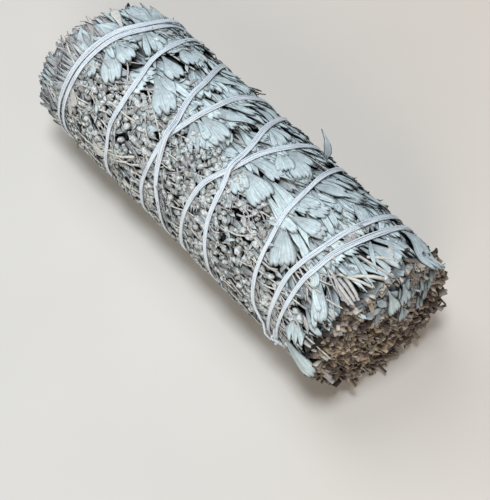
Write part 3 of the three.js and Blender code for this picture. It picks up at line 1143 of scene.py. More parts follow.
@dataclass(frozen=True)
class FanLayer:
    """One layer of fans: leaves that spread from a shared stalk."""

    form: LeafForm
    count: int
    leaves: tuple[int, int]
    length: Range
    half_width: Range
    height: float
    spread: float = 22.0
    rise: float = 1.2
    heading: float = 0.0
    tone: float = 0.5

    BENDS = Bends((-0.3, 0.5), (-0.3, 0.4), (-0.3, 0.4), (-0.6, 0.6), (-0.5, 0.5))
    BOW_PER_DEGREE = 0.02
    STALK_TUCK = 4
    STALK_LENGTH = 5.5
    STALK_RADIUS = 0.3


@dataclass(frozen=True)
class Accent:
    """One leaf or strip that shows on top, from its stalk to its tip, each given by x and angle."""

    stalk: Spot
    tip: Spot
    width: float
    form: LeafForm
    tone: float = 0.5
    height: float = 0.8
    stuff: Stuff = LEAF

    STALK_DROP = 1.1
    MIDDLE = 0.7

    def lie(self, tuck: float = 1.5, cup: float = -0.15, curl: float = 0.1, bow: float = 0.0) -> Lie:
        """Return how the leaf lies.

        Args:
            tuck: How far its stalk reaches back, under the other leaves.
            cup: How far its sides rise.
            curl: How far its tip rises.
            bow: How far it bends sideways.

        Returns:
            The lie.
        """
        run_x = self.tip[0] - self.stalk[0]
        run_around = (self.tip[1] - self.stalk[1]) * BUNCH.per_degree
        length = math.hypot(run_x, run_around)
        heading = math.degrees(math.atan2(run_around, run_x))
        back = tuck / length
        return Lie(
            self.stalk[0] - back * run_x, self.stalk[1] - back * run_around / BUNCH.per_degree, heading,
            length + tuck, self.width / 2, self.height - self.STALK_DROP, self.height,
            cup=cup, curl=curl, bow=bow,
        )

    def middle(self) -> Spot:
        """Return x and the angle of the middle of the leaf's blade."""
        return mix(self.stalk[0], self.tip[0], self.MIDDLE), mix(self.stalk[1], self.tip[1], self.MIDDLE)

    def is_near(self, x: float, angle: float, reach: float) -> bool:
        """Return whether a place lies within a reach of the blade's middle, in millimetres."""
        middle_x, middle_angle = self.middle()
        return math.hypot(x - middle_x, (angle - middle_angle) * BUNCH.per_degree) < reach


# Stalk, tip, width, form and, where they aren't the usual ones, tone, height and stuff.
ACCENTS = tuple(Accent(*row) for row in (
    # The tip end.
    ((-47.5, 18), (-43.5, 33), 4.2, BLADE, 0.6),
    ((-43.5, 27), (-38.3, 39), 4.6, WEDGE, 0.45),
    ((-42, 2), (-48, 10), 5.0, BLADE, 0.55),
    ((-43.8, -4), (-48.9, -8.5), 2.4, NARROW, 0.85, 1.7, STRAW),
    ((-29, 79), (-24.6, 87), 2.0, BLADE, 0.95, 1.5, STRAW),
    ((-28.4, 86), (-23.8, 78), 1.5, BLADE, 0.9, 1.3, STRAW),
    ((-39.5, -14), (-46.5, -21), 5.4, WEDGE, 0.5, 1.2),
    ((-39.5, -24), (-47.8, -19), 6.2, WEDGE, 0.35, 1.5),
    ((-39, -35), (-45.8, -39), 5.0, BLADE, 0.45, 1.4),
    ((-39, -31), (-46.8, -27), 5.2, WEDGE, 0.55, 1.1),
    ((-40.5, -39), (-44.8, -14), 4.0, BLADE, 0.6, 1.3),
    *(
        ((-41.5, a), (-50.6 + 0.03 * a, a + 1.5), 1.15, BLADE, 0.05 + 0.02 * (a % 7), 0.7)
        for a in range(36, 62, 3)
    ),
    ((-43.6, 54), (-38.4, 64), 3.0, FAN, 0.7, 0.9, STRAW),
    ((-43.4, 62), (-39, 74), 2.2, NARROW, 0.6, 0.7, STRAW),
    ((-38.5, -10), (-37.4, 4), 3.2, BLADE, 0.15, 0.6),
    ((-38.4, -13), (-30.8, 0), 1.8, NARROW, 0.6),
    ((-38.2, -14), (-31.2, -7), 1.6, NARROW, 0.5, 0.9),
    ((-38, -15), (-30.4, -12), 1.9, NARROW, 0.65, 0.7),
    ((-38, -16), (-31.6, -19), 1.7, NARROW, 0.45),
    # The upper side.
    ((-32, -41), (-29.3, -13), 4.6, NARROW, 0.55),
    ((-29.5, -38), (-21.6, -28), 4.2, WEDGE),
    ((-26.5, -30), (-20.3, -22), 2.6, WEDGE, 0.6, 0.9),
    ((-23, 5), (-16.6, 8), 3.0, BLADE, 0.6, 1.0),
    ((-23, 36), (-16.3, 22), 2.6, BLADE, 0.25, 0.4),
    ((-20, 44), (-13, 31), 3.0, BLADE, 0.4, 0.5),
    ((-17.5, -26), (-10.6, -35), 3.2, BLADE, 0.45, 1.0),
    ((-8.5, -18), (-2.4, -31), 2.8, BLADE, 0.6),
    ((-9.7, 13), (-1.5, 26), 5.6, PALM, 0.25, 0.7),
    ((-8, 10), (-2, 15), 2.4, NARROW, 0.6, 0.9),
    ((-3, -32), (4, -37), 3.0, WEDGE, 0.45),
    ((3.5, -27), (10, -30), 1.8, NARROW),
    ((3.5, -27), (10.6, -24), 1.9, NARROW, 0.65, 0.9),
    ((3.5, -27), (10.8, -19), 1.7, NARROW, 0.55),
    ((3.4, -27), (9.8, -14), 1.8, NARROW, 0.6, 0.7),
    ((11.5, -22), (19.4, -24), 2.2, NARROW),
    ((11.5, -21), (20.8, -17), 2.2, NARROW, 0.6, 0.9),
    ((10.5, -16), (17, -5), 5.0, FAN, 0.6),
    ((12, -18), (20.8, -5), 2.0, NARROW, 0.55, 0.6),
    ((8, 3), (20.6, -3), 2.9, BLADE, 0.5, 1.1),
    ((7.5, 17), (13.8, 25), 5.2, WEDGE, 0.5, 0.7),
    ((15.5, 6), (25.8, 6), 1.7, NARROW, 0.6),
    ((15.5, 7), (26.4, 9.5), 1.6, NARROW, 0.7, 0.9),
    ((15.5, 8), (26.6, 13), 1.7, NARROW, 0.6, 0.7),
    ((16.5, 11), (26, 17), 1.6, NARROW, 0.75),
    ((18.5, 15), (30.5, 20), 2.3, NARROW, 0.9, 1.1),
    ((18.5, 16), (28, 24), 1.8, NARROW, 0.8, 0.9),
    ((29, 20), (37.6, 30), 2.0, NARROW, 0.9, 1.0),
    ((26, 13), (36, 23), 1.7, BLADE, 0.8),
    ((26.5, 16), (35.4, 27), 1.8, BLADE, 0.7),
    # Toward the butt.
    ((24, -13), (36, 0), 1.7, NARROW, 0.45, 0.6),
    ((25, -8), (37, 5), 1.7, NARROW, 0.5, 0.7),
    ((25.5, -14), (33.6, -10), 1.8, NARROW, 0.4, 0.5),
    ((22.6, 3), (29.6, -2), 2.8, WEDGE),
    ((22.8, 9), (28.6, 5), 2.8, WEDGE, 0.45),
    ((29, 14), (35.6, 8), 3.6, WEDGE, 0.2, 1.2),
    ((32.6, -25), (39, -20), 3.8, WEDGE, 0.55),
    ((41.6, 3), (36.6, -8), 3.2, BLADE, 0.35, 0.5, STRAW),
    ((36.4, 7), (39.6, 13), 1.6, PALM, 0.6, 0.4, CHAFF),
    ((36.8, 10), (39, 5), 1.4, PALM, 0.5, 0.5, CHAFF),
    ((43, -14), (52, -27), 1.5, BLADE, 0.6, 0.9),
    ((43.5, -21), (53, -33), 1.8, BLADE, 0.4),
    ((44, -9), (51.5, -18), 1.4, NARROW, 0.5, 0.7),
    ((46, -18), (50.5, -10), 1.0, BLADE, 0.7, 1.1, STRAW),
    ((44, -3), (52.6, -12), 1.3, NARROW, 0.55, 0.9),
    ((44.6, -2), (53.4, -4), 1.2, NARROW, 0.4, 1.0),
    ((44, -8), (50, 4), 1.2, BLADE, 0.5, 1.1),
    ((45, 4), (53.8, 1), 1.4, NARROW, 0.6, 0.9),
    ((44, 8), (51.6, 2), 1.3, BLADE, 0.55),
    ((46, 12), (53.2, 8), 1.4, NARROW, 0.5, 0.7),
    ((43.6, 6), (52.8, 12), 1.1, BLADE, 0.45, 1.0),
    ((44.4, -17), (52.6, -21), 1.1, BLADE, 0.3, 1.0),
    ((43, 16), (52.4, 17), 1.2, BLADE, 0.5, 0.9),
    ((41, 35), (46.8, 46), 1.5, NARROW, 0.9, 1.0),
    ((41, 37), (48, 57), 1.6, NARROW, 0.85, 1.0),
    ((37, 29), (42.4, 37), 2.6, NARROW, 0.85, 0.9),
    ((42, 62), (45.6, 80), 6.4, PALM),
    ((-9, -12), (-0.5, -23), 1.8, NARROW, 0.45, 0.7),
    ((-8.4, -17), (0.2, -27), 1.7, BLADE, 0.55, 0.9),
    ((-7.6, -9), (2, -17), 1.7, NARROW, 0.4),
    ((-5, -20), (4.2, -27), 1.9, BLADE, 0.5, 0.7),
    ((-33, 98), (-29.4, 112), 1.4, BLADE, 0.3, 1.1, STRAW),
    # The far side of the top.
    ((-24, -40), (-15, -48), 3.2, NARROW, 0.6, 0.5),
    ((-17, -33), (-8, -42), 3.4, WEDGE, 0.65, 0.6),
    ((-13, -41), (-3, -51), 3.0, WEDGE, 0.6, 0.6),
    ((-6, -38), (3, -46), 3.2, WEDGE, 0.6, 0.6),
    ((1, -40), (11, -47), 3.4, WEDGE, 0.6, 0.6),
    ((8, -34), (17, -41), 3.2, PALM, 0.65, 0.7),
    ((13, -42), (22, -53), 2.8, BLADE, 0.6, 0.6),
    ((20, -36), (29, -45), 3.2, WEDGE, 0.55, 0.6),
    ((28, -44), (37, -54), 3.0, WEDGE, 0.6, 0.6),
    ((51, -21), (57, -16), 1.5, NARROW, 0.35, 0.9, BARK),
    ((51, 18), (55.6, 24), 1.2, NARROW, 0.75, 0.6, BARK),
    ((47, 57), (51.6, 63), 1.5, NARROW, 0.8, 0.6, BARK),
))


@dataclass(frozen=True)
class CutTwig:
    """One thicker stalk whose pale cut end shows near the butt."""

    start: Spot
    end: Spot
    half_width: float
    tone: float
    height: float = 0.3
    stuff: Stuff = STRAW

    START_DROP = 0.5

    def lie(self, bow: float) -> Lie:
        """Return how the stalk lies, bent sideways by a bow.

        Args:
            bow: How far it bends.

        Returns:
            The lie.
        """
        run = Accent(self.start, self.end, self.half_width * 2, BLADE, height=self.height)
        flat = run.lie(tuck=0.0, cup=0.0, curl=0.0, bow=bow)
        return replace(flat, start_height=self.height - self.START_DROP, flat=self.half_width)


# Start, end, half width, tone and, where they aren't the usual ones, height and stuff.
CUT_TWIGS = tuple(CutTwig(*row) for row in (
    ((-26, 79), (-15.5, 59), 0.34, 0.9, 0.8),
    ((-25.5, 83), (-17, 67), 0.28, 0.8, 0.7),
    ((45.6, 1), (51.4, -15), 0.4, 0.7, 0.9),
    ((44.2, 4), (52.8, -3), 0.36, 0.5, 0.9),
    ((46.8, 16), (51.8, 3), 0.42, 0.8, 1.0),
    ((44, 21), (51.6, 12), 0.36, 0.9, 0.9),
    ((44.5, 23), (52.4, 28), 0.42, 0.5),
    ((44.8, 25.5), (52.9, 30), 0.45, 0.6, 0.6),
    ((45.2, 28), (52.6, 32.5), 0.4, 0.4),
    ((45.5, 20), (51.8, 25), 0.45, 0.55, 0.5),
    ((47, -3), (54.6, -8), 0.6, 0.8, 0.2),
    ((40, 40), (52, 45), 0.42, 0.5),
    ((42, 46), (52.4, 50), 0.4, 0.35, 0.2),
    ((46, 74), (53.4, 77), 0.5, 0.6, 0.2),
    ((48, 112), (55.6, 114), 0.8, 0.4, 0.1),
    ((50, 140), (58.4, 142), 0.55, 0.7, 0.0, BARK),
    ((50, 98), (55.4, 100), 0.6, 0.3, 0.1),
    ((52, 176), (60, 176), 0.4, 0.3, 0.0, BARK),
    ((54, 215), (59.8, 214), 0.6, 0.9, 0.2, BARK),
))


@dataclass(frozen=True)
class FreeLeaf:
    """A leaf that leaves the bunch's outside: it hangs down the cut butt or closes the tip end.

    Its direction has three parts: along the bunch, outward from the axis and round the axis.
    """

    x: float
    angle: float
    radius: float
    length: float
    half_width: float
    form: LeafForm
    tone: float
    direction: tuple[float, float, float]

    HANG = 0.9

    def mover(self) -> Mover:
        """Return the function that takes a leaf pattern's point to its place."""
        turn = math.radians(self.angle)
        base = BUNCH.point(self.x, self.angle, self.radius)
        outward = Vector((0, -math.sin(turn), math.cos(turn)))
        tangent = Vector((0, -math.cos(turn), -math.sin(turn)))
        run, out, aside = self.direction
        ahead = (Vector((run, 0, 0)) + outward * out + tangent * aside).normalized()
        facing = Vector((math.copysign(1, self.x), 0, 0)) + outward * 0.3
        across = ahead.cross(facing).normalized()
        above = across.cross(ahead)

        def put(point: Vector) -> Vector:
            """Place one point of the pattern."""
            hang = self.HANG * point.x * (1 - point.x)
            shift = across * (point.y * self.half_width) + above * (point.z + hang)
            return base + (ahead * (point.x * self.length) + shift) * MM

        return put


DROOPING_LEAVES = (
    FreeLeaf(54.2, 6, 19.0, 9.0, 1.9, FAN, 0.7, (0.3, -1, -0.05)),
    FreeLeaf(55.0, -7, 18.0, 7.0, 1.9, PALM, 0.35, (0.3, -1, -0.15)),
    FreeLeaf(54.6, -14, 17.6, 5.0, 1.2, BLADE, 0.4, (0.3, -1, 0.2)),
    FreeLeaf(54.0, 16, 18.6, 5.0, 1.0, BLADE, 0.3, (0.3, -1, -0.3)),
)


# Steps along and round a piece that spread any number of leaves evenly over it.
RUN_STEP, TURN_STEP = 0.7549, 0.5698


def evenly(shift: float, i: int) -> Pair:
    """Return the share of a piece's length and, from its middle, of its width where leaf i lies."""
    return (shift + RUN_STEP * i) % 1, (shift + TURN_STEP * i) % 1 - 0.5


@dataclass
class RingPiece:
    """What the leafy sprigs and the flower spikes share: packing, a cut butt and a frayed tip."""

    node: str
    middle: float
    width: float
    seed: int
    packing_drop: float = 2.2
    packing_core: float = 12.0
    packing_lump: float = 0.7
    lumps_per_mm: float = 0.45
    stub_start: float = 0.4
    stub_sink: float = 1.5
    tip_sink: float = 4.0
    tip_sink_start: float = -44.0
    tip_radius: float = 18.5
    chip_ring: Range = (8.0, 20.0)
    chip_count: int = 165
    droop_ring: Range = (5.0, 19.4)
    droop_count: int = 34
    tip_count: int = 46
    rib_count: int = 38
    hair_count: int = 5
    fringe_count: int = 11
    accent_tone: float = 0.8

    def spot(self, chance: random.Random) -> float:
        """Return a chance angle on this piece."""
        return self.middle + chance.uniform(-0.5, 0.5) * self.width

    def spot_in(self, ring: Range, chance: random.Random) -> Pair:
        """Return a chance angle and radius on this piece's share of a ring of the butt."""
        angle = self.spot(chance)
        return angle, math.sqrt(chance.uniform(ring[0] ** 2, ring[1] ** 2))

    def holds(self, angle: float) -> bool:
        """Return whether an angle lies on this piece."""
        return abs((angle - self.middle + 180) % 360 - 180) <= self.width / 2

    def add_packing(self, clump: Clump) -> None:
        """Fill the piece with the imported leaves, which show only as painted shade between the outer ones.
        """

        def put(point: Vector) -> Vector:
            """Sink one point of the CAD solid under the outer leaves."""
            x, angle, radius = BUNCH.place_of(point)
            lump = self.packing_lump * noise.noise(point / MM * self.lumps_per_mm)
            drop = self.packing_drop * smooth((radius - self.packing_core) / 6) + lump
            x += self.tip_sink * smooth((self.tip_sink_start - x) / 5)
            if x > BUNCH.butt_x + self.stub_start:
                x -= self.stub_sink
            return BUNCH.point(x, angle, max(radius - drop, 1.0))

        # A fixed painted shade factor darkens the packing further.
        clump.add(merged_copy(self.node), put, PACKING, clump.chance.random(), 0.4)

    def add_layer(self, clump: Clump, layer: LeafLayer, where: Site = lambda x, angle: True) -> None:
        """Lay one layer of leaves, spread evenly, with their tips toward the butt.

        Args:
            clump: The clump to add them to.
            layer: The layer.
            where: Says whether a leaf may have its tip at a place.
        """
        chance = clump.chance
        shift = chance.random()
        for i in range(layer.count):
            run, turn = evenly(shift, i)
            run += chance.uniform(-0.04, 0.04)
            angle = self.middle + self.width * (turn + chance.uniform(-0.05, 0.05))
            length = chance.uniform(*layer.length)
            tip_x = mix(BUNCH.tip_at(angle) + 0.8 * length, BUNCH.butt_x + 0.6, run)
            heading = BUNCH.flow(tip_x, angle) + chance.gauss(layer.heading, layer.heading_spread)
            if not where(tip_x, angle):
                continue
            x = tip_x - length * math.cos(math.radians(heading))
            height = layer.height + chance.gauss(0, 0.12)
            half_width = chance.uniform(*layer.half_width)
            bends = layer.BENDS.draw(chance)
            lie = Lie(x, angle, heading, length, half_width, height - layer.rise, height, **bends)
            clump.leaf(layer.form, lie.mover(), min(max(chance.gauss(layer.tone, 0.2), 0), 1))

    def add_fans(self, clump: Clump, layer: FanLayer, where: Site = lambda x, angle: True) -> None:
        """Lay one layer of fans, spread evenly, with their tips toward the butt.

        Args:
            clump: The clump to add them to.
            layer: The layer.
            where: Says whether a fan may have its tip at a place.
        """
        chance = clump.chance
        shift = chance.random()
        for i in range(layer.count):
            run, turn = evenly(shift, i)
            run += chance.uniform(-0.05, 0.05)
            angle = self.middle + self.width * turn
            length = chance.uniform(*layer.length)
            tip_x = mix(BUNCH.tip_at(angle) + 0.8 * length, BUNCH.butt_x + 0.2, run)
            heading = BUNCH.flow(tip_x, angle) + chance.gauss(layer.heading, 9)
            if not where(tip_x, angle):
                continue
            ahead = math.cos(math.radians(heading))
            aside = math.sin(math.radians(heading)) / BUNCH.per_degree
            x = tip_x - length * ahead
            root = angle - length * aside
            tone = chance.gauss(layer.tone, 0.16)
            count = chance.randint(*layer.leaves)
            for j in range(count):
                lean = layer.spread * (2 * (j + 0.5) / count - 1) + chance.gauss(0, 4)
                height = layer.height + chance.gauss(0, 0.2)
                start = x + chance.uniform(-1.2, 0.6)
                reach = length * chance.uniform(0.8, 1.08)
                half_width = chance.uniform(*layer.half_width)
                bends = layer.BENDS.draw(chance)
                bends["bow"] += lean * layer.BOW_PER_DEGREE
                base = height - layer.rise
                lie = Lie(start, root, heading + lean, reach, half_width, base, height, **bends)
                clump.leaf(layer.form, lie.mover(), min(max(tone + chance.gauss(0, 0.08), 0), 1))
            low = layer.height - layer.rise
            stalk = Lie(
                x - layer.STALK_TUCK * ahead, root - layer.STALK_TUCK * aside, heading, layer.STALK_LENGTH,
                layer.STALK_RADIUS, low, low + 0.5, flat=layer.STALK_RADIUS,
            )
            clump.rod(stalk, 0.7)

    def add_accents(self, clump: Clump) -> None:
        """Lay the leaves, strips and cut stalks that show on top of this piece."""
        chance = clump.chance
        for accent in ACCENTS:
            if self.holds(accent.middle()[1]):
                lie = accent.lie(cup=chance.uniform(-0.3, 0.25), bow=chance.uniform(-0.5, 0.5))
                clump.leaf(accent.form, lie.mover(), accent.tone * self.accent_tone, accent.stuff, True)
        for twig in CUT_TWIGS:
            if self.holds(twig.end[1]):
                clump.cut_twig(twig.lie(chance.uniform(-0.4, 0.4)), twig.tone, twig.stuff)
        for leaf in DROOPING_LEAVES:
            if self.holds(leaf.angle):
                clump.leaf(leaf.form, leaf.mover(), leaf.tone, is_fine=True, painted_openness=0.95)

    def add_butt(self, clump: Clump) -> None:
        """Strew the cut ends of stems and leaves over the butt."""
        chance = clump.chance
        for _ in range(self.chip_count):
            angle, radius = self.spot_in(self.chip_ring, chance)
            add_chip(clump, angle, radius)
        for _ in range(self.droop_count):
            angle, radius = self.spot_in(self.droop_ring, chance)
            turn = math.radians(angle)
            if is_leafy_end(angle, radius, chance.uniform(0, 3)):
                leaf = FreeLeaf(
                    BUNCH.butt_at(angle, radius) + chance.uniform(-1.0, 1.2), angle, radius,
                    chance.uniform(2.5, 6), chance.uniform(0.5, 1.4), chance.choice((BLADE, NARROW, WEDGE)),
                    chance.uniform(0, 0.5), (0.3, -math.cos(turn), math.sin(turn) + chance.gauss(0, 0.5)),
                )
                clump.leaf(leaf.form, leaf.mover(), leaf.tone, painted_openness=chance.uniform(0.6, 1))

    def add_fringe(self, clump: Clump) -> None:
        """Let a few leaf tips and stalks stand off the outside, but not underneath."""
        chance = clump.chance
        for _ in range(self.fringe_count):
            angle = self.spot(chance)
            if math.cos(math.radians(angle)) < -0.2:
                continue
            lie = Lie(
                chance.uniform(-46, 45), angle, chance.gauss(0, 30), chance.uniform(3, 6),
                chance.uniform(0.25, 0.6), -0.4, 0.3, cup=0.3, bow=chance.uniform(-0.8, 0.8),
                lift=chance.uniform(0.2, 1.3),
            )
            form, stuff = chance.choice(((BLADE, LEAF), (BLADE, STRAW), (NARROW, LEAF)))
            clump.leaf(form, lie.mover(), chance.uniform(0.0, 0.6), stuff)

    def add_tip_leaves(self, clump: Clump) -> None:
        """Close the tip end with leaves that lean in over it."""
        chance = clump.chance
        for _ in range(self.tip_count):
            angle = self.spot(chance)
            radius = self.tip_radius * chance.random() ** 0.7
            lean = chance.uniform(-0.2, 1.35) * min(radius / 9, 1)
            length = chance.uniform(4, 7.5)
            leaf = FreeLeaf(
                BUNCH.tip_at(angle) + chance.uniform(-0.6, 1.8) + length * math.cos(lean), angle,
                radius + 0.5 * length * math.sin(lean), length, chance.uniform(0.9, 2.3),
                chance.choice((BLADE, NARROW, WEDGE)), chance.uniform(0.1, 0.9),
                (-math.cos(lean), -math.sin(lean), chance.gauss(0, 0.35)),
            )
            clump.leaf(leaf.form, leaf.mover(), leaf.tone, painted_openness=chance.uniform(0.5, 1))

    def add_tip_ribs(self, clump: Clump) -> None:
        """Let narrow leaf ends stand out of the tip end, some of them splayed."""
        chance = clump.chance
        for _ in range(self.rib_count):
            angle = self.spot(chance)
            length = chance.uniform(5, 10)
            end = BUNCH.tip_at(angle) + chance.gauss(0.8, 1.8)
            height = chance.uniform(-0.6, 0.3)
            splay = chance.uniform(-0.2, 0.6) if chance.random() < 0.6 else chance.uniform(0.6, 2.4)
            lie = Lie(
                end + length, angle, 180 + chance.gauss(0, 5), length, chance.uniform(0.35, 0.75),
                height - 0.7, height, bow=chance.uniform(-0.6, 0.6), fold=0.2, curl=splay,
            )
            form, stuff = chance.choice(((BLADE, STRAW), (BLADE, STRAW), (NARROW, LEAF)))
            clump.leaf(form, lie.mover(), chance.uniform(0, 0.45), stuff)

    def add_tip_hairs(self, clump: Clump) -> None:
        """Let a few thin stalks stand out further."""
        chance = clump.chance
        for _ in range(self.hair_count):
            angle = self.spot(chance)
            length = chance.uniform(5, 9)
            end = BUNCH.tip_at(angle) + chance.uniform(-4.5, -0.5)
            lie = Lie(
                end + length, angle, 180 + chance.gauss(0, 22), length, chance.uniform(0.12, 0.22), -0.5,
                chance.uniform(-0.5, 2.6), bow=chance.uniform(-1.2, 1.2), flat=0.18,
            )
            clump.rod(lie, chance.uniform(0, 0.8))

    def add_outside(self, clump: Clump) -> None:
        """Add what lies on top of the piece and at both its ends."""
        self.add_accents(clump)
        self.add_butt(clump)
        self.add_fringe(clump)
        self.add_tip_leaves(clump)
        self.add_tip_ribs(clump)
        self.add_tip_hairs(clump)


ACCENT_REACH = 4.5


def is_free(x: float, angle: float) -> bool:
    """Return whether no accent lies near a place."""
    return not any(accent.is_near(x, angle, ACCENT_REACH) for accent in ACCENTS)


COVERED_RIM = (-76.0, -16.0)
COVERED_FROM = 17.2
FRAYED_FROM = 16.5
# Shares of the broken ends, added up: flakes, splinters and cut twigs. The rest are blades.
FLAKES, SPLINTERS, TWIGS = 0.5, 0.76, 0.89
FLAKE_SIZE = ((1.5, 4.2), (0.9, 2.5), (0.35, 1.0))
SPLINTER_SIZE = ((1.8, 4.4), (0.6, 1.6), (0.35, 0.8))


def aside_and_up(angle: float, radius: float) -> Pair:
    """Return how far a place lies from the axis toward -Y, and how far above it."""
    turn = math.radians(angle)
    return radius * math.sin(turn), radius * math.cos(turn)


def is_leafy_end(angle: float, radius: float, shift: float) -> bool:
    """Return whether a place on the cut butt lies among leaf ends, above the brown stem ends.

    Args:
        angle: Its place round the bunch, in degrees.
        radius: Its distance from the axis.
        shift: How far the border is moved up there.

    Returns:
        Whether leaf ends lie there.
    """
    across, up = aside_and_up(angle, radius)
    border = 1 + max(across + 5, 0) + 3 * max(-10 - across, 0)
    return up > shift + border


def add_chip(clump: Clump, angle: float, radius: float) -> None:
    """Add one broken or cut end that stands out of the butt.

    Args:
        clump: The clump to add it to.
        angle: Its place round the bunch, in degrees.
        radius: Its distance from the axis.
    """
    if radius > COVERED_FROM and COVERED_RIM[0] < angle < COVERED_RIM[1]:
        return
    chance = clump.chance
    across, up = aside_and_up(angle, radius)
    rough = 1.5 * noise.noise(Vector((across, up, 1.0)) * 0.3)
    rough += 0.9 * noise.noise(Vector((across, up, 9.0)) * 0.8)
    patch = 0.5 + 0.6 * noise.noise(Vector((across, up, 5.0)) * 0.25)
    face = BUNCH.butt_at(angle, radius) + rough
    x = face + chance.gauss(0, 0.55)
    if radius > FRAYED_FROM and chance.random() < 0.5:
        x = mix(BUNCH.butt_x - 0.5, x, chance.random())
    shown = chance.uniform(0.7, 1.0)
    kind = chance.random()
    is_green = is_leafy_end(angle, radius, chance.uniform(-2, 4))
    layered = Euler((chance.gauss(0, 0.4), chance.gauss(0, 0.35), math.pi / 2 + chance.gauss(0, 0.6)))
    tilted = Euler((chance.uniform(0, 6.3), chance.gauss(0, 0.4), chance.gauss(0, 0.4)))
    pattern, turn, core = clump.patterns.flake, layered, None
    if kind < FLAKES:
        size = Vector([chance.uniform(*reach) for reach in FLAKE_SIZE])
        stuff, tone = CHAFF, min(patch * chance.uniform(0.3, 1.6), 0.9)
    elif kind < SPLINTERS:
        size = Vector([chance.uniform(*reach) for reach in SPLINTER_SIZE])
        stuff, tone = BARK, patch * chance.uniform(0.3, 1.6)
    elif kind < TWIGS:
        thick = chance.uniform(0.2, 0.6)
        size = Vector((chance.uniform(2.0, 4.0), thick, thick))
        pattern, turn, core = clump.patterns.cut_twig, tilted, WOOD
        stuff, tone = BARK, chance.random()
    else:
        size = Vector((chance.uniform(1.5, 3.5), chance.uniform(0.4, 1.1), 1.0))
        pattern, turn = None, tilted
        stuff, tone = CHAFF, chance.uniform(0.3, 0.85)
    if is_green and core:
        stuff = STRAW
    elif is_green:
        greens = ((LEAF, chance.uniform(0, 0.5)), (CHAFF, chance.uniform(0.55, 0.8)))
        stuff, tone = chance.choice(greens)
    buried = 0.4 if pattern is clump.patterns.flake else 0.8
    base = BUNCH.point(x - buried * size.x, angle, radius)
    rotation = turn.to_matrix()

    def put(point: Vector) -> Vector:
        """Place one point of the pattern."""
        return base + rotation @ (point * size) * MM

    def painted_openness(point: Vector) -> float:
        """Return how open a point lies: painted shade darkens it behind the ends around it."""
        return shown * smooth((point.x / MM - face + (2.4 if is_green else 1.8)) / 2.2)

    if pattern:
        clump.add(pattern, put, stuff, tone, painted_openness, core=core)
    else:
        clump.leaf(BLADE, put, tone, stuff, painted_openness=painted_openness)


@dataclass
class LeafySprig(RingPiece):
    """A sprig's pressed leaves, like shingles whose toothed tips point to the butt."""

    layers: tuple[LeafLayer, ...] = (
        LeafLayer(NARROW, 60, (8, 12), (1.0, 1.7), -1.3, tone=0.35),
        LeafLayer(BLADE, 60, (7, 12), (0.5, 1.0), -0.8, tone=0.4, heading_spread=20),
    )
    fans: tuple[FanLayer, ...] = (
        FanLayer(WEDGE, 16, (3, 5), (8, 12), (1.2, 2.1), -0.5),
        FanLayer(NARROW, 16, (4, 6), (8, 13), (0.6, 1.1), -0.2, 24),
        FanLayer(PALM, 6, (2, 3), (9, 12), (1.6, 2.2), 0.0, tone=0.45),
    )
    top_fans: tuple[FanLayer, ...] = (
        FanLayer(WEDGE, 9, (2, 4), (9, 13), (1.5, 2.3), 0.35, 20, rise=1.5, tone=0.58),
        FanLayer(NARROW, 7, (3, 5), (9, 13), (0.6, 1.1), 0.5, 22, rise=1.5, tone=0.55),
    )
    litter: LeafLayer = LeafLayer(BLADE, 46, (2, 5), (0.2, 0.5), 0.2, 0.4, heading_spread=45, tone=0.4)
    stalk_count: int = 14

    def build(self, patterns: Patterns) -> Object:
        """Return the sprig as one piece."""
        clump = Clump(patterns, self.seed)
        self.add_packing(clump)
        for layer in self.layers:
            self.add_layer(clump, layer)
        for fans in self.fans:
            self.add_fans(clump, fans)
        for fans in self.top_fans:
            self.add_fans(clump, fans, is_free)
        self.add_layer(clump, self.litter)
        self.add_stalks(clump)
        self.add_outside(clump)
        return clump.piece(self.node + "_leaves", "sprig_leaves", [self.node])

    def add_stalks(self, clump: Clump) -> None:
        """Lay a few bare stalks among the leaves."""
        chance = clump.chance
        for _ in range(self.stalk_count):
            lie = Lie(
                chance.uniform(-48, 44), self.spot(chance), chance.gauss(0, 25), chance.uniform(5, 11),
                chance.uniform(0.18, 0.3), -0.8, 0.0, bow=chance.uniform(-1, 1), flat=0.22,
            )
            clump.rod(lie, chance.random())


@dataclass(frozen=True)
class LaidBud:
    """Where a bud lies: x, its way round the bunch and its radius, in millimetres."""

    x: float
    around: float
    radius: float


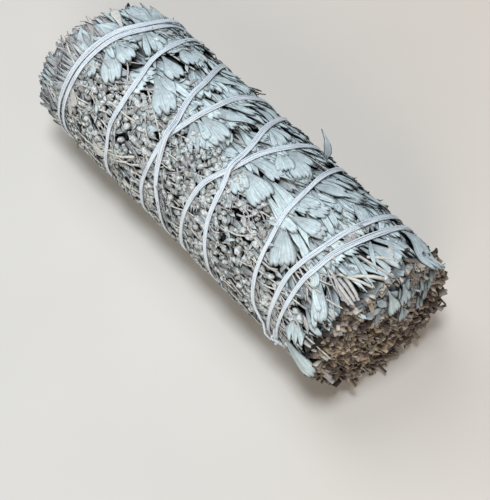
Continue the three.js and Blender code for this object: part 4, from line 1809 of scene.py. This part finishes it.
@dataclass
class FlowerSpike(RingPiece):
    """A flower spike: round bud heads on short stalks along fine curved stems."""

    layers: tuple[LeafLayer, ...] = (
        LeafLayer(BLADE, 50, (6, 11), (0.4, 0.8), -1.4, tone=0.2, heading_spread=24),
        LeafLayer(NARROW, 14, (6, 10), (0.5, 0.9), -0.9, tone=0.25, heading_spread=24),
    )
    litter: LeafLayer = LeafLayer(BLADE, 44, (2, 5.5), (0.25, 0.5), 0.2, 0.6, heading_spread=50, tone=0.2)
    bracts: LeafLayer = LeafLayer(BLADE, 44, (4, 9), (0.4, 0.75), 0.45, 1.0, 10, 24, tone=0.1)
    leafy_layers: tuple[LeafLayer, ...] = (
        LeafLayer(BLADE, 60, (7, 12), (0.5, 1.0), -1.0, tone=0.25, heading=16, heading_spread=22),
        LeafLayer(NARROW, 40, (8, 12), (1.0, 1.7), -0.6, tone=0.28, heading=16),
    )
    leafy_fans: tuple[FanLayer, ...] = (
        FanLayer(WEDGE, 8, (3, 4), (8, 12), (1.2, 2.1), -0.3, tone=0.3, heading=18),
        FanLayer(NARROW, 8, (4, 6), (8, 12), (0.6, 1.1), 0.0, 24, tone=0.35, heading=18),
    )
    panicle_count: int = 90
    deep_buds: int = 70
    top_buds: int = 170
    stalk_count: int = 55
    bud_pitch: float = 0.9
    bud_gap: float = 0.8
    bract_share: float = 0.4
    gap_tries: int = 320
    gap_reach: float = 1.45

    def build(self, patterns: Patterns) -> Object:
        """Return the spike as one piece."""
        clump = Clump(patterns, self.seed)
        self.add_packing(clump)
        for layer in self.layers:
            self.add_layer(clump, layer)
        for layer in self.leafy_layers:
            self.add_layer(clump, layer, BUNCH.is_leafy)
        for fans in self.leafy_fans:
            self.add_fans(clump, fans, lambda x, angle: BUNCH.is_leafy(x, angle) and is_free(x, angle))
        self.add_deep_buds(clump)
        laid = self.add_panicles(clump)
        self.add_layer(clump, self.litter)
        self.add_layer(clump, self.bracts, lambda x, angle: not BUNCH.is_leafy(x, angle))
        self.add_stalks(clump)
        self.add_outside(clump)
        self.fill_gaps(clump, laid)
        return clump.piece(self.node + "_buds", "flower_buds", [self.node])

    def add_deep_buds(self, clump: Clump) -> None:
        """Fill the depth with buds."""
        chance = clump.chance
        for _ in range(self.deep_buds):
            angle = self.spot(chance)
            x = chance.uniform(BUNCH.tip_at(angle) + 3, 48)
            if not BUNCH.is_leafy(x, angle):
                height = chance.uniform(-1.7, -1.2)
                clump.bud(x, angle, height, chance.uniform(0.6, 0.9), chance.uniform(0, 0.6))

    def add_panicles(self, clump: Clump) -> list[LaidBud]:
        """Lay fine stems with buds on short stalks at both sides of them, no bud in another.

        Args:
            clump: The clump to add them to.

        Returns:
            The buds.
        """
        chance = clump.chance
        laid: list[LaidBud] = []
        for _ in range(self.panicle_count):
            angle = self.spot(chance)
            x = chance.uniform(BUNCH.tip_at(angle) + 3, 42)
            length = chance.uniform(6, 12)
            if BUNCH.is_leafy(x + length / 2, angle):
                continue
            height = chance.uniform(-0.7, -0.1)
            thick = chance.uniform(0.18, 0.26)
            stem = Lie(
                x, angle, chance.gauss(0, 24), length, thick, height - 0.5, height,
                bow=chance.uniform(-1.2, 1.2), flat=thick,
            )
            clump.rod(stem, chance.uniform(0.3, 1))
            count = int(length / self.bud_pitch)
            for i in range(count):
                share = (i + chance.uniform(0.3, 0.9)) / count
                side = 1 if i % 2 else -1
                reach = chance.uniform(0.7, 2.0)
                root_x, root_angle = stem.spot(share, 0)
                bud_x, bud_angle = stem.spot(share + reach / length, side * reach / thick)
                radius = chance.uniform(0.58, 0.95)
                bud = LaidBud(bud_x, bud_angle * BUNCH.per_degree, radius)
                lift = height + chance.uniform(0.0, 0.55)
                tone = chance.random()
                if any(self.is_in(bud, other) for other in laid):
                    continue
                if len(laid) >= self.top_buds:
                    return laid
                laid.append(bud)
                clump.bud(bud_x, bud_angle, lift, radius, tone)
                if chance.random() < self.bract_share:
                    bract = Lie(
                        bud_x - radius, bud_angle, chance.gauss(0, 35), chance.uniform(1.8, 3.4),
                        chance.uniform(0.3, 0.5), lift - 0.4, lift + chance.uniform(0.3, 0.7),
                        cup=0.3, curl=0.2, bow=chance.uniform(-0.6, 0.6),
                    )
                    clump.leaf(BLADE, bract.mover(), chance.uniform(0.1, 0.6))
                if i % 2:
                    run = math.hypot(bud_x - root_x, reach)
                    turn = math.atan2((bud_angle - root_angle) * BUNCH.per_degree, bud_x - root_x)
                    stalk = Lie(
                        root_x, root_angle, math.degrees(turn), run, 0.16, height - 0.2, lift, flat=0.16
                    )
                    clump.rod(stalk, 0.7, True)
        return laid

    def is_in(self, bud: LaidBud, other: LaidBud) -> bool:
        """Return whether a bud would stand in another."""
        apart = math.hypot(bud.x - other.x, bud.around - other.around)
        return apart < self.bud_gap * (bud.radius + other.radius)

    def fill_gaps(self, clump: Clump, laid: Sequence[LaidBud]) -> None:
        """Set buds a little deeper wherever no other lies near.

        Args:
            clump: The clump to add them to.
            laid: The buds laid before.
        """
        chance = clump.chance
        centres = [(bud.x, bud.around) for bud in laid]
        for _ in range(self.gap_tries):
            angle = self.spot(chance)
            x = chance.uniform(BUNCH.tip_at(angle) + 3, 46)
            centre = (x, angle * BUNCH.per_degree)
            is_filled = any(math.dist(centre, other) < self.gap_reach for other in centres)
            if BUNCH.is_leafy(x, angle) or is_filled:
                continue
            centres.append(centre)
            clump.bud(x, angle, chance.uniform(-1.15, -0.65), chance.uniform(0.7, 0.95), chance.random())

    def add_stalks(self, clump: Clump) -> None:
        """Lay the fine bare stalks over the buds."""
        chance = clump.chance
        for _ in range(self.stalk_count):
            height = chance.uniform(-0.5, 0.7)
            angle = self.spot(chance)
            x = chance.uniform(BUNCH.tip_at(angle), 44)
            lie = Lie(
                x, angle, BUNCH.flow(x, angle) + chance.gauss(0, 22), chance.uniform(5, 13),
                chance.uniform(0.16, 0.3), height - 0.5, height + 0.2, bow=chance.uniform(-1.6, 1.6),
                flat=0.24,
            )
            clump.rod(lie, chance.uniform(0.2, 1))


@dataclass
class WoodyStem:
    """A bare stem of the core with bark, a slanting cut and the chaff around it."""

    node: str
    seed: int
    sides: int = 12
    rings: int = 24
    thickness: Pair = (0.5, 0.6)
    slant: float = 0.4
    cut_share: float = 0.03
    cut_back: float = 1.6
    chip_count: int = 26
    chip_spread: float = 1.6

    def build(self, patterns: Patterns) -> Object:
        """Return the stem as one piece."""
        clump = Clump(patterns, self.seed)
        self.add_rod(clump)
        self.add_chaff(clump)
        return clump.piece(self.node + "_wood", "woody_stem", [self.node])

    def add_rod(self, clump: Clump) -> None:
        """Shape the stem: a barky rod in the place of its CAD solid."""
        low, high = (Vector(corner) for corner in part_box(self.node))
        centre = (low + high) / 2
        radius = (high.y - low.y) / 2
        slant = clump.chance.uniform(-self.slant, self.slant)

        def put(point: Vector) -> Vector:
            """Place one point of the rod."""
            rough = 1 + 0.1 * noise.noise(Vector((point.x * 30, point.y * 2, point.z * 2 + self.seed)))
            thick = mix(*self.thickness, point.x) * rough * radius
            slope = slant * point.y * radius * smooth((point.x - 1 + self.cut_share) / self.cut_share)
            x = mix(low.x, high.x - self.cut_back * MM, point.x) + slope
            return Vector((x, centre.y + point.y * thick, centre.z + point.z * thick))

        rod = rod_mesh(self.sides, self.rings, 0.25)
        # A fixed painted shade factor darkens the stem a little.
        clump.add(rod, put, BARK, clump.chance.uniform(0.1, 0.8), 0.8, core=WOOD)

    def add_chaff(self, clump: Clump) -> None:
        """Strew chaff around the stem's cut end."""
        low, high = (Vector(corner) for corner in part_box(self.node))
        centre = (low + high) / 2
        spread = self.chip_spread * MM
        for _ in range(self.chip_count):
            shift = Vector((0, clump.chance.gauss(0, spread), clump.chance.gauss(0, spread)))
            _, angle, radius = BUNCH.place_of(centre + shift)
            add_chip(clump, angle, radius)


@dataclass(frozen=True)
class OuterLeaf(Accent):
    """One loose outer leaf, which is a piece of its own."""

    tone: float = 0.34
    height: float = 1.0
    lift: float = 0.0
    node: str = "outer_leaf"

    SPREAD = 1.15
    TUCK = 2.0

    def build(self, patterns: Patterns) -> Object:
        """Return the leaf as one piece."""
        clump = Clump(patterns, sum(map(ord, self.node)))
        narrow = self.lie(self.TUCK)
        lie = replace(narrow, half_width=narrow.half_width * self.SPREAD, lift=self.lift)
        clump.leaf(self.form, lie.mover(), self.tone, is_fine=True)
        return clump.piece(self.node + "_blade", "outer_leaf", [self.node])


OUTER_LEAVES = (
    OuterLeaf((-39.9, 17), (-31.8, 31), 5.2, WEDGE),
    OuterLeaf((-39.4, 9), (-32.6, 12), 4.4, WEDGE),
    OuterLeaf((-45.6, 26), (-51.2, 17), 3.6, BLADE),
    OuterLeaf((-42.4, -24), (-48, -12), 4.4, WEDGE),
    OuterLeaf((-28.6, -24), (-21.8, -19), 4.0, WEDGE),
    OuterLeaf((-27.6, -7), (-20.2, -2), 4.2, WEDGE),
    OuterLeaf((-24, 9), (-14.6, 21), 5.6, WEDGE),
    OuterLeaf((-7.7, 6), (1.4, 9), 5.2, WEDGE),
    OuterLeaf((-6.8, -5), (1, -13), 2.8, BLADE),
    OuterLeaf((9.8, 14), (19.4, 19), 5.8, FAN),
    OuterLeaf((12.9, -19), (21.2, -11), 5.0, FAN),
    OuterLeaf((10.8, -1), (17.8, 3), 3.6, WEDGE),
    OuterLeaf((24.8, -16), (32.6, -27), 2.8, BLADE),
    OuterLeaf((26, 4), (32.2, -3), 3.4, WEDGE),
    OuterLeaf((27.6, 14), (34, 9), 3.4, NARROW),
    OuterLeaf((26.6, 23), (32.8, 42), 6.2, FAN),
    OuterLeaf((43, -42), (58.2, -36), 6.2, WEDGE, 0.4, 1.6, lift=0.8),
    OuterLeaf((44.6, -7), (52.2, -15), 3.8, WEDGE),
    OuterLeaf((41.4, 33), (48.4, 51), 3.6, NARROW),
    OuterLeaf((43.5, 88), (52.8, 94), 7.0, NARROW, 0.55, 1.3, lift=1.3),
)


@dataclass(frozen=True)
class RaisedLeaf:
    """The narrow leaf that stands away from the bunch, along a curve of x, angle and radius."""

    node: str = "raised_leaf"
    path: tuple[Place, ...] = (
        (17.6, -47, 20.6), (16.9, -48.4, 22.1), (15, -48.8, 23.9), (11.8, -48, 25.4),
    )
    across: Vector = Vector((-0.35, -0.75, 0.55)).normalized()
    half_width: float = 1.2
    seed: int = 5

    def build(self, patterns: Patterns) -> Object:
        """Return the leaf as one piece."""
        places = [BUNCH.point(*place) for place in self.path]

        def put(point: Vector) -> Vector:
            """Place one point of the leaf along the straight runs between the places."""
            runs = len(places) - 1
            scaled = min(max(point.x, 0), 1) * runs
            i = min(int(scaled), runs - 1)
            base = places[i].lerp(places[i + 1], scaled - i)
            normal = (places[i + 1] - places[i]).cross(self.across).normalized()
            return base + self.across * (point.y * self.half_width * MM) + normal * (point.z * MM)

        clump = Clump(patterns, self.seed)
        clump.leaf(BLADE, put, 0.25, is_fine=True, painted_openness=0.95)
        return clump.piece("raised_leaf_blade", "outer_leaf", [self.node])


@dataclass(frozen=True)
class BindingString:
    """The cotton string: loose strands laid side by side, wound along its route and tied."""

    node: str = "binding_string"
    strands: int = 4
    strand_pitch: float = 0.34
    strand_radius: float = 0.2
    wander: float = 0.12
    narrow_angle: float = 108.0
    narrowing: float = 0.45
    sink: float = 0.12
    sides: int = 6
    step: float = 3.0
    surface_gap: float = 0.3
    knot_place: Place = (39.4, 100.0, 21.2)
    knot_size: float = 0.42
    knot_steps: int = 60
    tails: Pair = (4.0, 5.0)
    tail_steps: int = 12
    seed: int = 7

    def radius(self, angle: float) -> float:
        """Return the distance of the string's middle from the axis at a running angle.

        Args:
            angle: The running angle.

        Returns:
            The distance.
        """
        route = BUNCH.route
        radius = route.seat - self.sink + route.lift_at(angle)
        down = -math.cos(math.radians(angle))
        if down > BUNCH.down_share:
            radius = min(radius, (BUNCH.axis_height - self.surface_gap) / down)
        return radius

    def add_strand(
        self, clump: Clump, places: Sequence[Vector], radius: float, tone: float,
        shift: Callable[[float], Pair] = lambda share: (0.0, 0.0),
    ) -> None:
        """Sweep one strand along a row of places.

        Args:
            clump: The clump to add it to.
            places: Points of the strand's route, in metres.
            radius: The strand's radius, in millimetres.
            tone: A number of its own, which sets its fibres apart from the next strand's.
            shift: Gives, for a share of the route, how far aside and outward it lies, in millimetres.
        """
        count = len(places) - 1
        axis = Vector((0, 0, BUNCH.axis_height * MM))

        def put(point: Vector) -> Vector:
            """Place one point of a straight rod round the strand's route."""
            i = round(point.x * count)
            ahead = (places[min(i + 1, count)] - places[max(i - 1, 0)]).normalized()
            outward = (places[i] - axis) * Vector((0, 1, 1))
            aside = ahead.cross(outward).normalized()
            outward = aside.cross(ahead)
            side, lift = shift(point.x)
            off = aside * (side + point.y * radius) + outward * (lift + point.z * radius)
            return places[i] + off * MM

        # Painted shade on each strand's lower side.
        clump.add(rod_mesh(self.sides, count), put, PACKING, tone, 1.0, underside_shade=0.35, depth=1.8)

    def add_winding(self, clump: Clump) -> None:
        """Wind every strand along the route."""
        route = BUNCH.route
        start, end = route.points[0][0], route.points[-1][0]
        count = round((end - start) / self.step)
        angles = [mix(start, end, i / count) for i in range(count + 1)]
        places = [BUNCH.point(route.x_at(angle), angle, self.radius(angle)) for angle in angles]
        length = sum((after - before).length for before, after in zip(places, places[1:])) / MM
        LOG.info("string length %.0f mm", length)
        for i in range(self.strands):

            def shift(share: float, i: int = i) -> Pair:
                """Return how far aside and outward the strand lies."""
                run = share * length
                side = math.cos(math.radians(mix(start, end, share) - self.narrow_angle))
                gather = 1 + 0.3 * noise.noise(Vector((run * 0.06, 0.5, 0.5)))
                gather -= self.narrowing * max(side, 0) ** 2
                aside = (i - (self.strands - 1) / 2) * self.strand_pitch * gather
                aside += self.wander * noise.noise(Vector((run * 0.12, i * 5.0, 0.5)))
                return aside, self.wander * noise.noise(Vector((run * 0.1, i * 5.0, 7.5)))

            self.add_strand(clump, places, self.strand_radius, i / self.strands, shift)

    def add_knot(self, clump: Clump) -> None:
        """Tie the two ends in a small knot with short tails."""
        centre = BUNCH.point(*self.knot_place)
        loops = []
        for i in range(self.knot_steps + 1):
            t = 2 * math.pi * i / self.knot_steps
            x, y = math.sin(t) + 2 * math.sin(2 * t), math.sin(3 * t)
            loops.append(centre + Vector((x, y, math.cos(t) - 2 * math.cos(2 * t))) * self.knot_size * MM)
        self.add_strand(clump, loops, self.strand_radius * 1.7, 0.3)
        for side, reach in zip((-1, 1), self.tails):
            tail = [self.tail_point(side, reach * i / self.tail_steps) for i in range(self.tail_steps + 1)]
            self.add_strand(clump, tail, self.strand_radius * 1.4, 0.7)

    def tail_point(self, side: int, run: float) -> Vector:
        """Return the point of a tail that is a run away from the knot, on its side -1 or 1."""
        x, angle, radius = self.knot_place
        return BUNCH.point(x + side * 0.3 * run, angle + side * 2.2 * run, radius - 0.04 * run * run)

    def build(self, patterns: Patterns) -> Object:
        """Return the string as one piece."""
        clump = Clump(patterns, self.seed)
        self.add_winding(clump)
        self.add_knot(clump)
        return clump.piece("wound_string", "cotton_string", [self.node], [CottonFinish().material()])


@dataclass(frozen=True)
class Lamp:
    """One soft round lamp that faces the bunch; its place and size are in metres, its power in watts."""

    name: str
    power: float
    size: float
    place: tuple[float, float, float]
    colour: Colour

    def build(self) -> None:
        """Hang the lamp."""
        data = bpy.data.lights.new(self.name, "AREA")
        data.shape = "DISK"
        data.size = self.size
        data.energy = self.power
        data.color = self.colour
        lamp = add_object(self.name, data)
        lamp.location = self.place
        lamp.rotation_euler = (-lamp.location).to_track_quat("-Z", "Y").to_euler()


@dataclass(frozen=True)
class Studio:
    """The floor, the lights and the camera."""

    target: tuple[float, float, float] = (13.41, -7.02, 9.58)
    azimuth: float = 45.53
    elevation: float = 60.5
    roll: float = 2.48
    distance: float = 271.4
    lens: float = 75.6
    sensor: float = 36.0
    floor_size: float = 4000.0
    lamps: tuple[Lamp, ...] = (
        Lamp("key_lamp", 3.7, 0.24, (0.0, -0.075, 0.8), (0.95, 1.0, 1.04)),
        Lamp("side_lamp", 1.9, 0.5, (-0.38, 0.05, 0.66), (0.96, 1.0, 1.02)),
        Lamp("front_lamp", 3.9, 0.5, (0.5, -0.65, 0.4), (1.06, 0.97, 0.87)),
    )
    room_colour: Colour = (1.0, 0.85, 0.68)
    room_strength: float = 0.1

    def add_floor(self) -> None:
        """Lay the floor."""
        work = bmesh.new()
        bmesh.ops.create_grid(work, x_segments=1, y_segments=1, size=self.floor_size / 2 * MM)
        floor = add_object("floor", as_mesh(work, "floor"))
        floor.data.materials.append(FloorFinish().material())

    def add_lights(self) -> None:
        """Hang the lamps and light the room evenly."""
        for lamp in self.lamps:
            lamp.build()
        world = bpy.data.worlds.new("room")
        world.use_nodes = True
        background = world.node_tree.nodes["Background"]
        background.inputs["Color"].default_value = (*self.room_colour, 1)
        background.inputs["Strength"].default_value = self.room_strength
        bpy.context.scene.world = world

    def add_camera(self) -> None:
        """Set the camera over the bunch's near side."""
        az, el, roll = (math.radians(value) for value in (self.azimuth, self.elevation, self.roll))
        back = Vector((math.sin(az) * math.cos(el), -math.cos(az) * math.cos(el), math.sin(el)))
        right = Vector((math.cos(az), math.sin(az), 0))
        up = back.cross(right)
        rolled_right = right * math.cos(roll) + up * math.sin(roll)
        rolled_up = up * math.cos(roll) - right * math.sin(roll)
        data = bpy.data.cameras.new("camera")
        data.lens = self.lens
        data.sensor_width = self.sensor
        data.clip_start = 0.01
        camera = add_object("camera", data)
        place = (Vector(self.target) + back * self.distance) * MM
        turn = Matrix((rolled_right, rolled_up, back)).transposed().to_4x4()
        camera.matrix_world = Matrix.Translation(place) @ turn
        bpy.context.scene.camera = camera

    def build(self) -> None:
        """Set up the whole studio."""
        self.add_floor()
        self.add_lights()
        self.add_camera()
        bpy.context.scene.view_settings.view_transform = "Standard"


@dataclass(frozen=True)
class Ring:
    """Pieces of one kind that lie side by side round the bunch, from a starting angle on."""

    kind: type[RingPiece]
    node: str
    count: int
    start: float
    width: float
    seed: int

    def pieces(self) -> list[RingPiece]:
        """Return the pieces, in order."""
        return [
            self.kind(f"{self.node}_{i + 1}", self.start + self.width * (i + 0.5), self.width, self.seed + i)
            for i in range(self.count)
        ]


SPRIGS = Ring(LeafySprig, "leafy_sprig", 7, 127.5, 35.0, 100)
SPIKES = Ring(FlowerSpike, "flower_spike", 6, 12.5, (360 - SPRIGS.count * SPRIGS.width) / 6, 200)
STEM_COUNT = 19
STEM_SEED = 300


def all_parts() -> list[RingPiece | WoodyStem | OuterLeaf | RaisedLeaf | BindingString]:
    """Return everything that becomes a piece, in order."""
    stems = [WoodyStem(f"woody_stem_{i + 1:02d}", STEM_SEED + i) for i in range(STEM_COUNT)]
    leaves = [replace(leaf, node=f"outer_leaf_{i + 1:02d}") for i, leaf in enumerate(OUTER_LEAVES)]
    return [*SPRIGS.pieces(), *SPIKES.pieces(), *stems, *leaves, RaisedLeaf(), BindingString()]


def main() -> None:
    """Build the studio and every piece of the bunch, and report each piece."""
    logging.basicConfig(level=logging.INFO, format="%(name)s: %(message)s")
    Studio().build()
    patterns = Patterns()
    for part in all_parts():
        piece = part.build(patterns)
        triangles = sum(len(polygon.vertices) - 2 for polygon in piece.data.polygons)
        LOG.info("%s: %d triangles", piece.name, triangles)


if __name__ == "__main__":
    main()
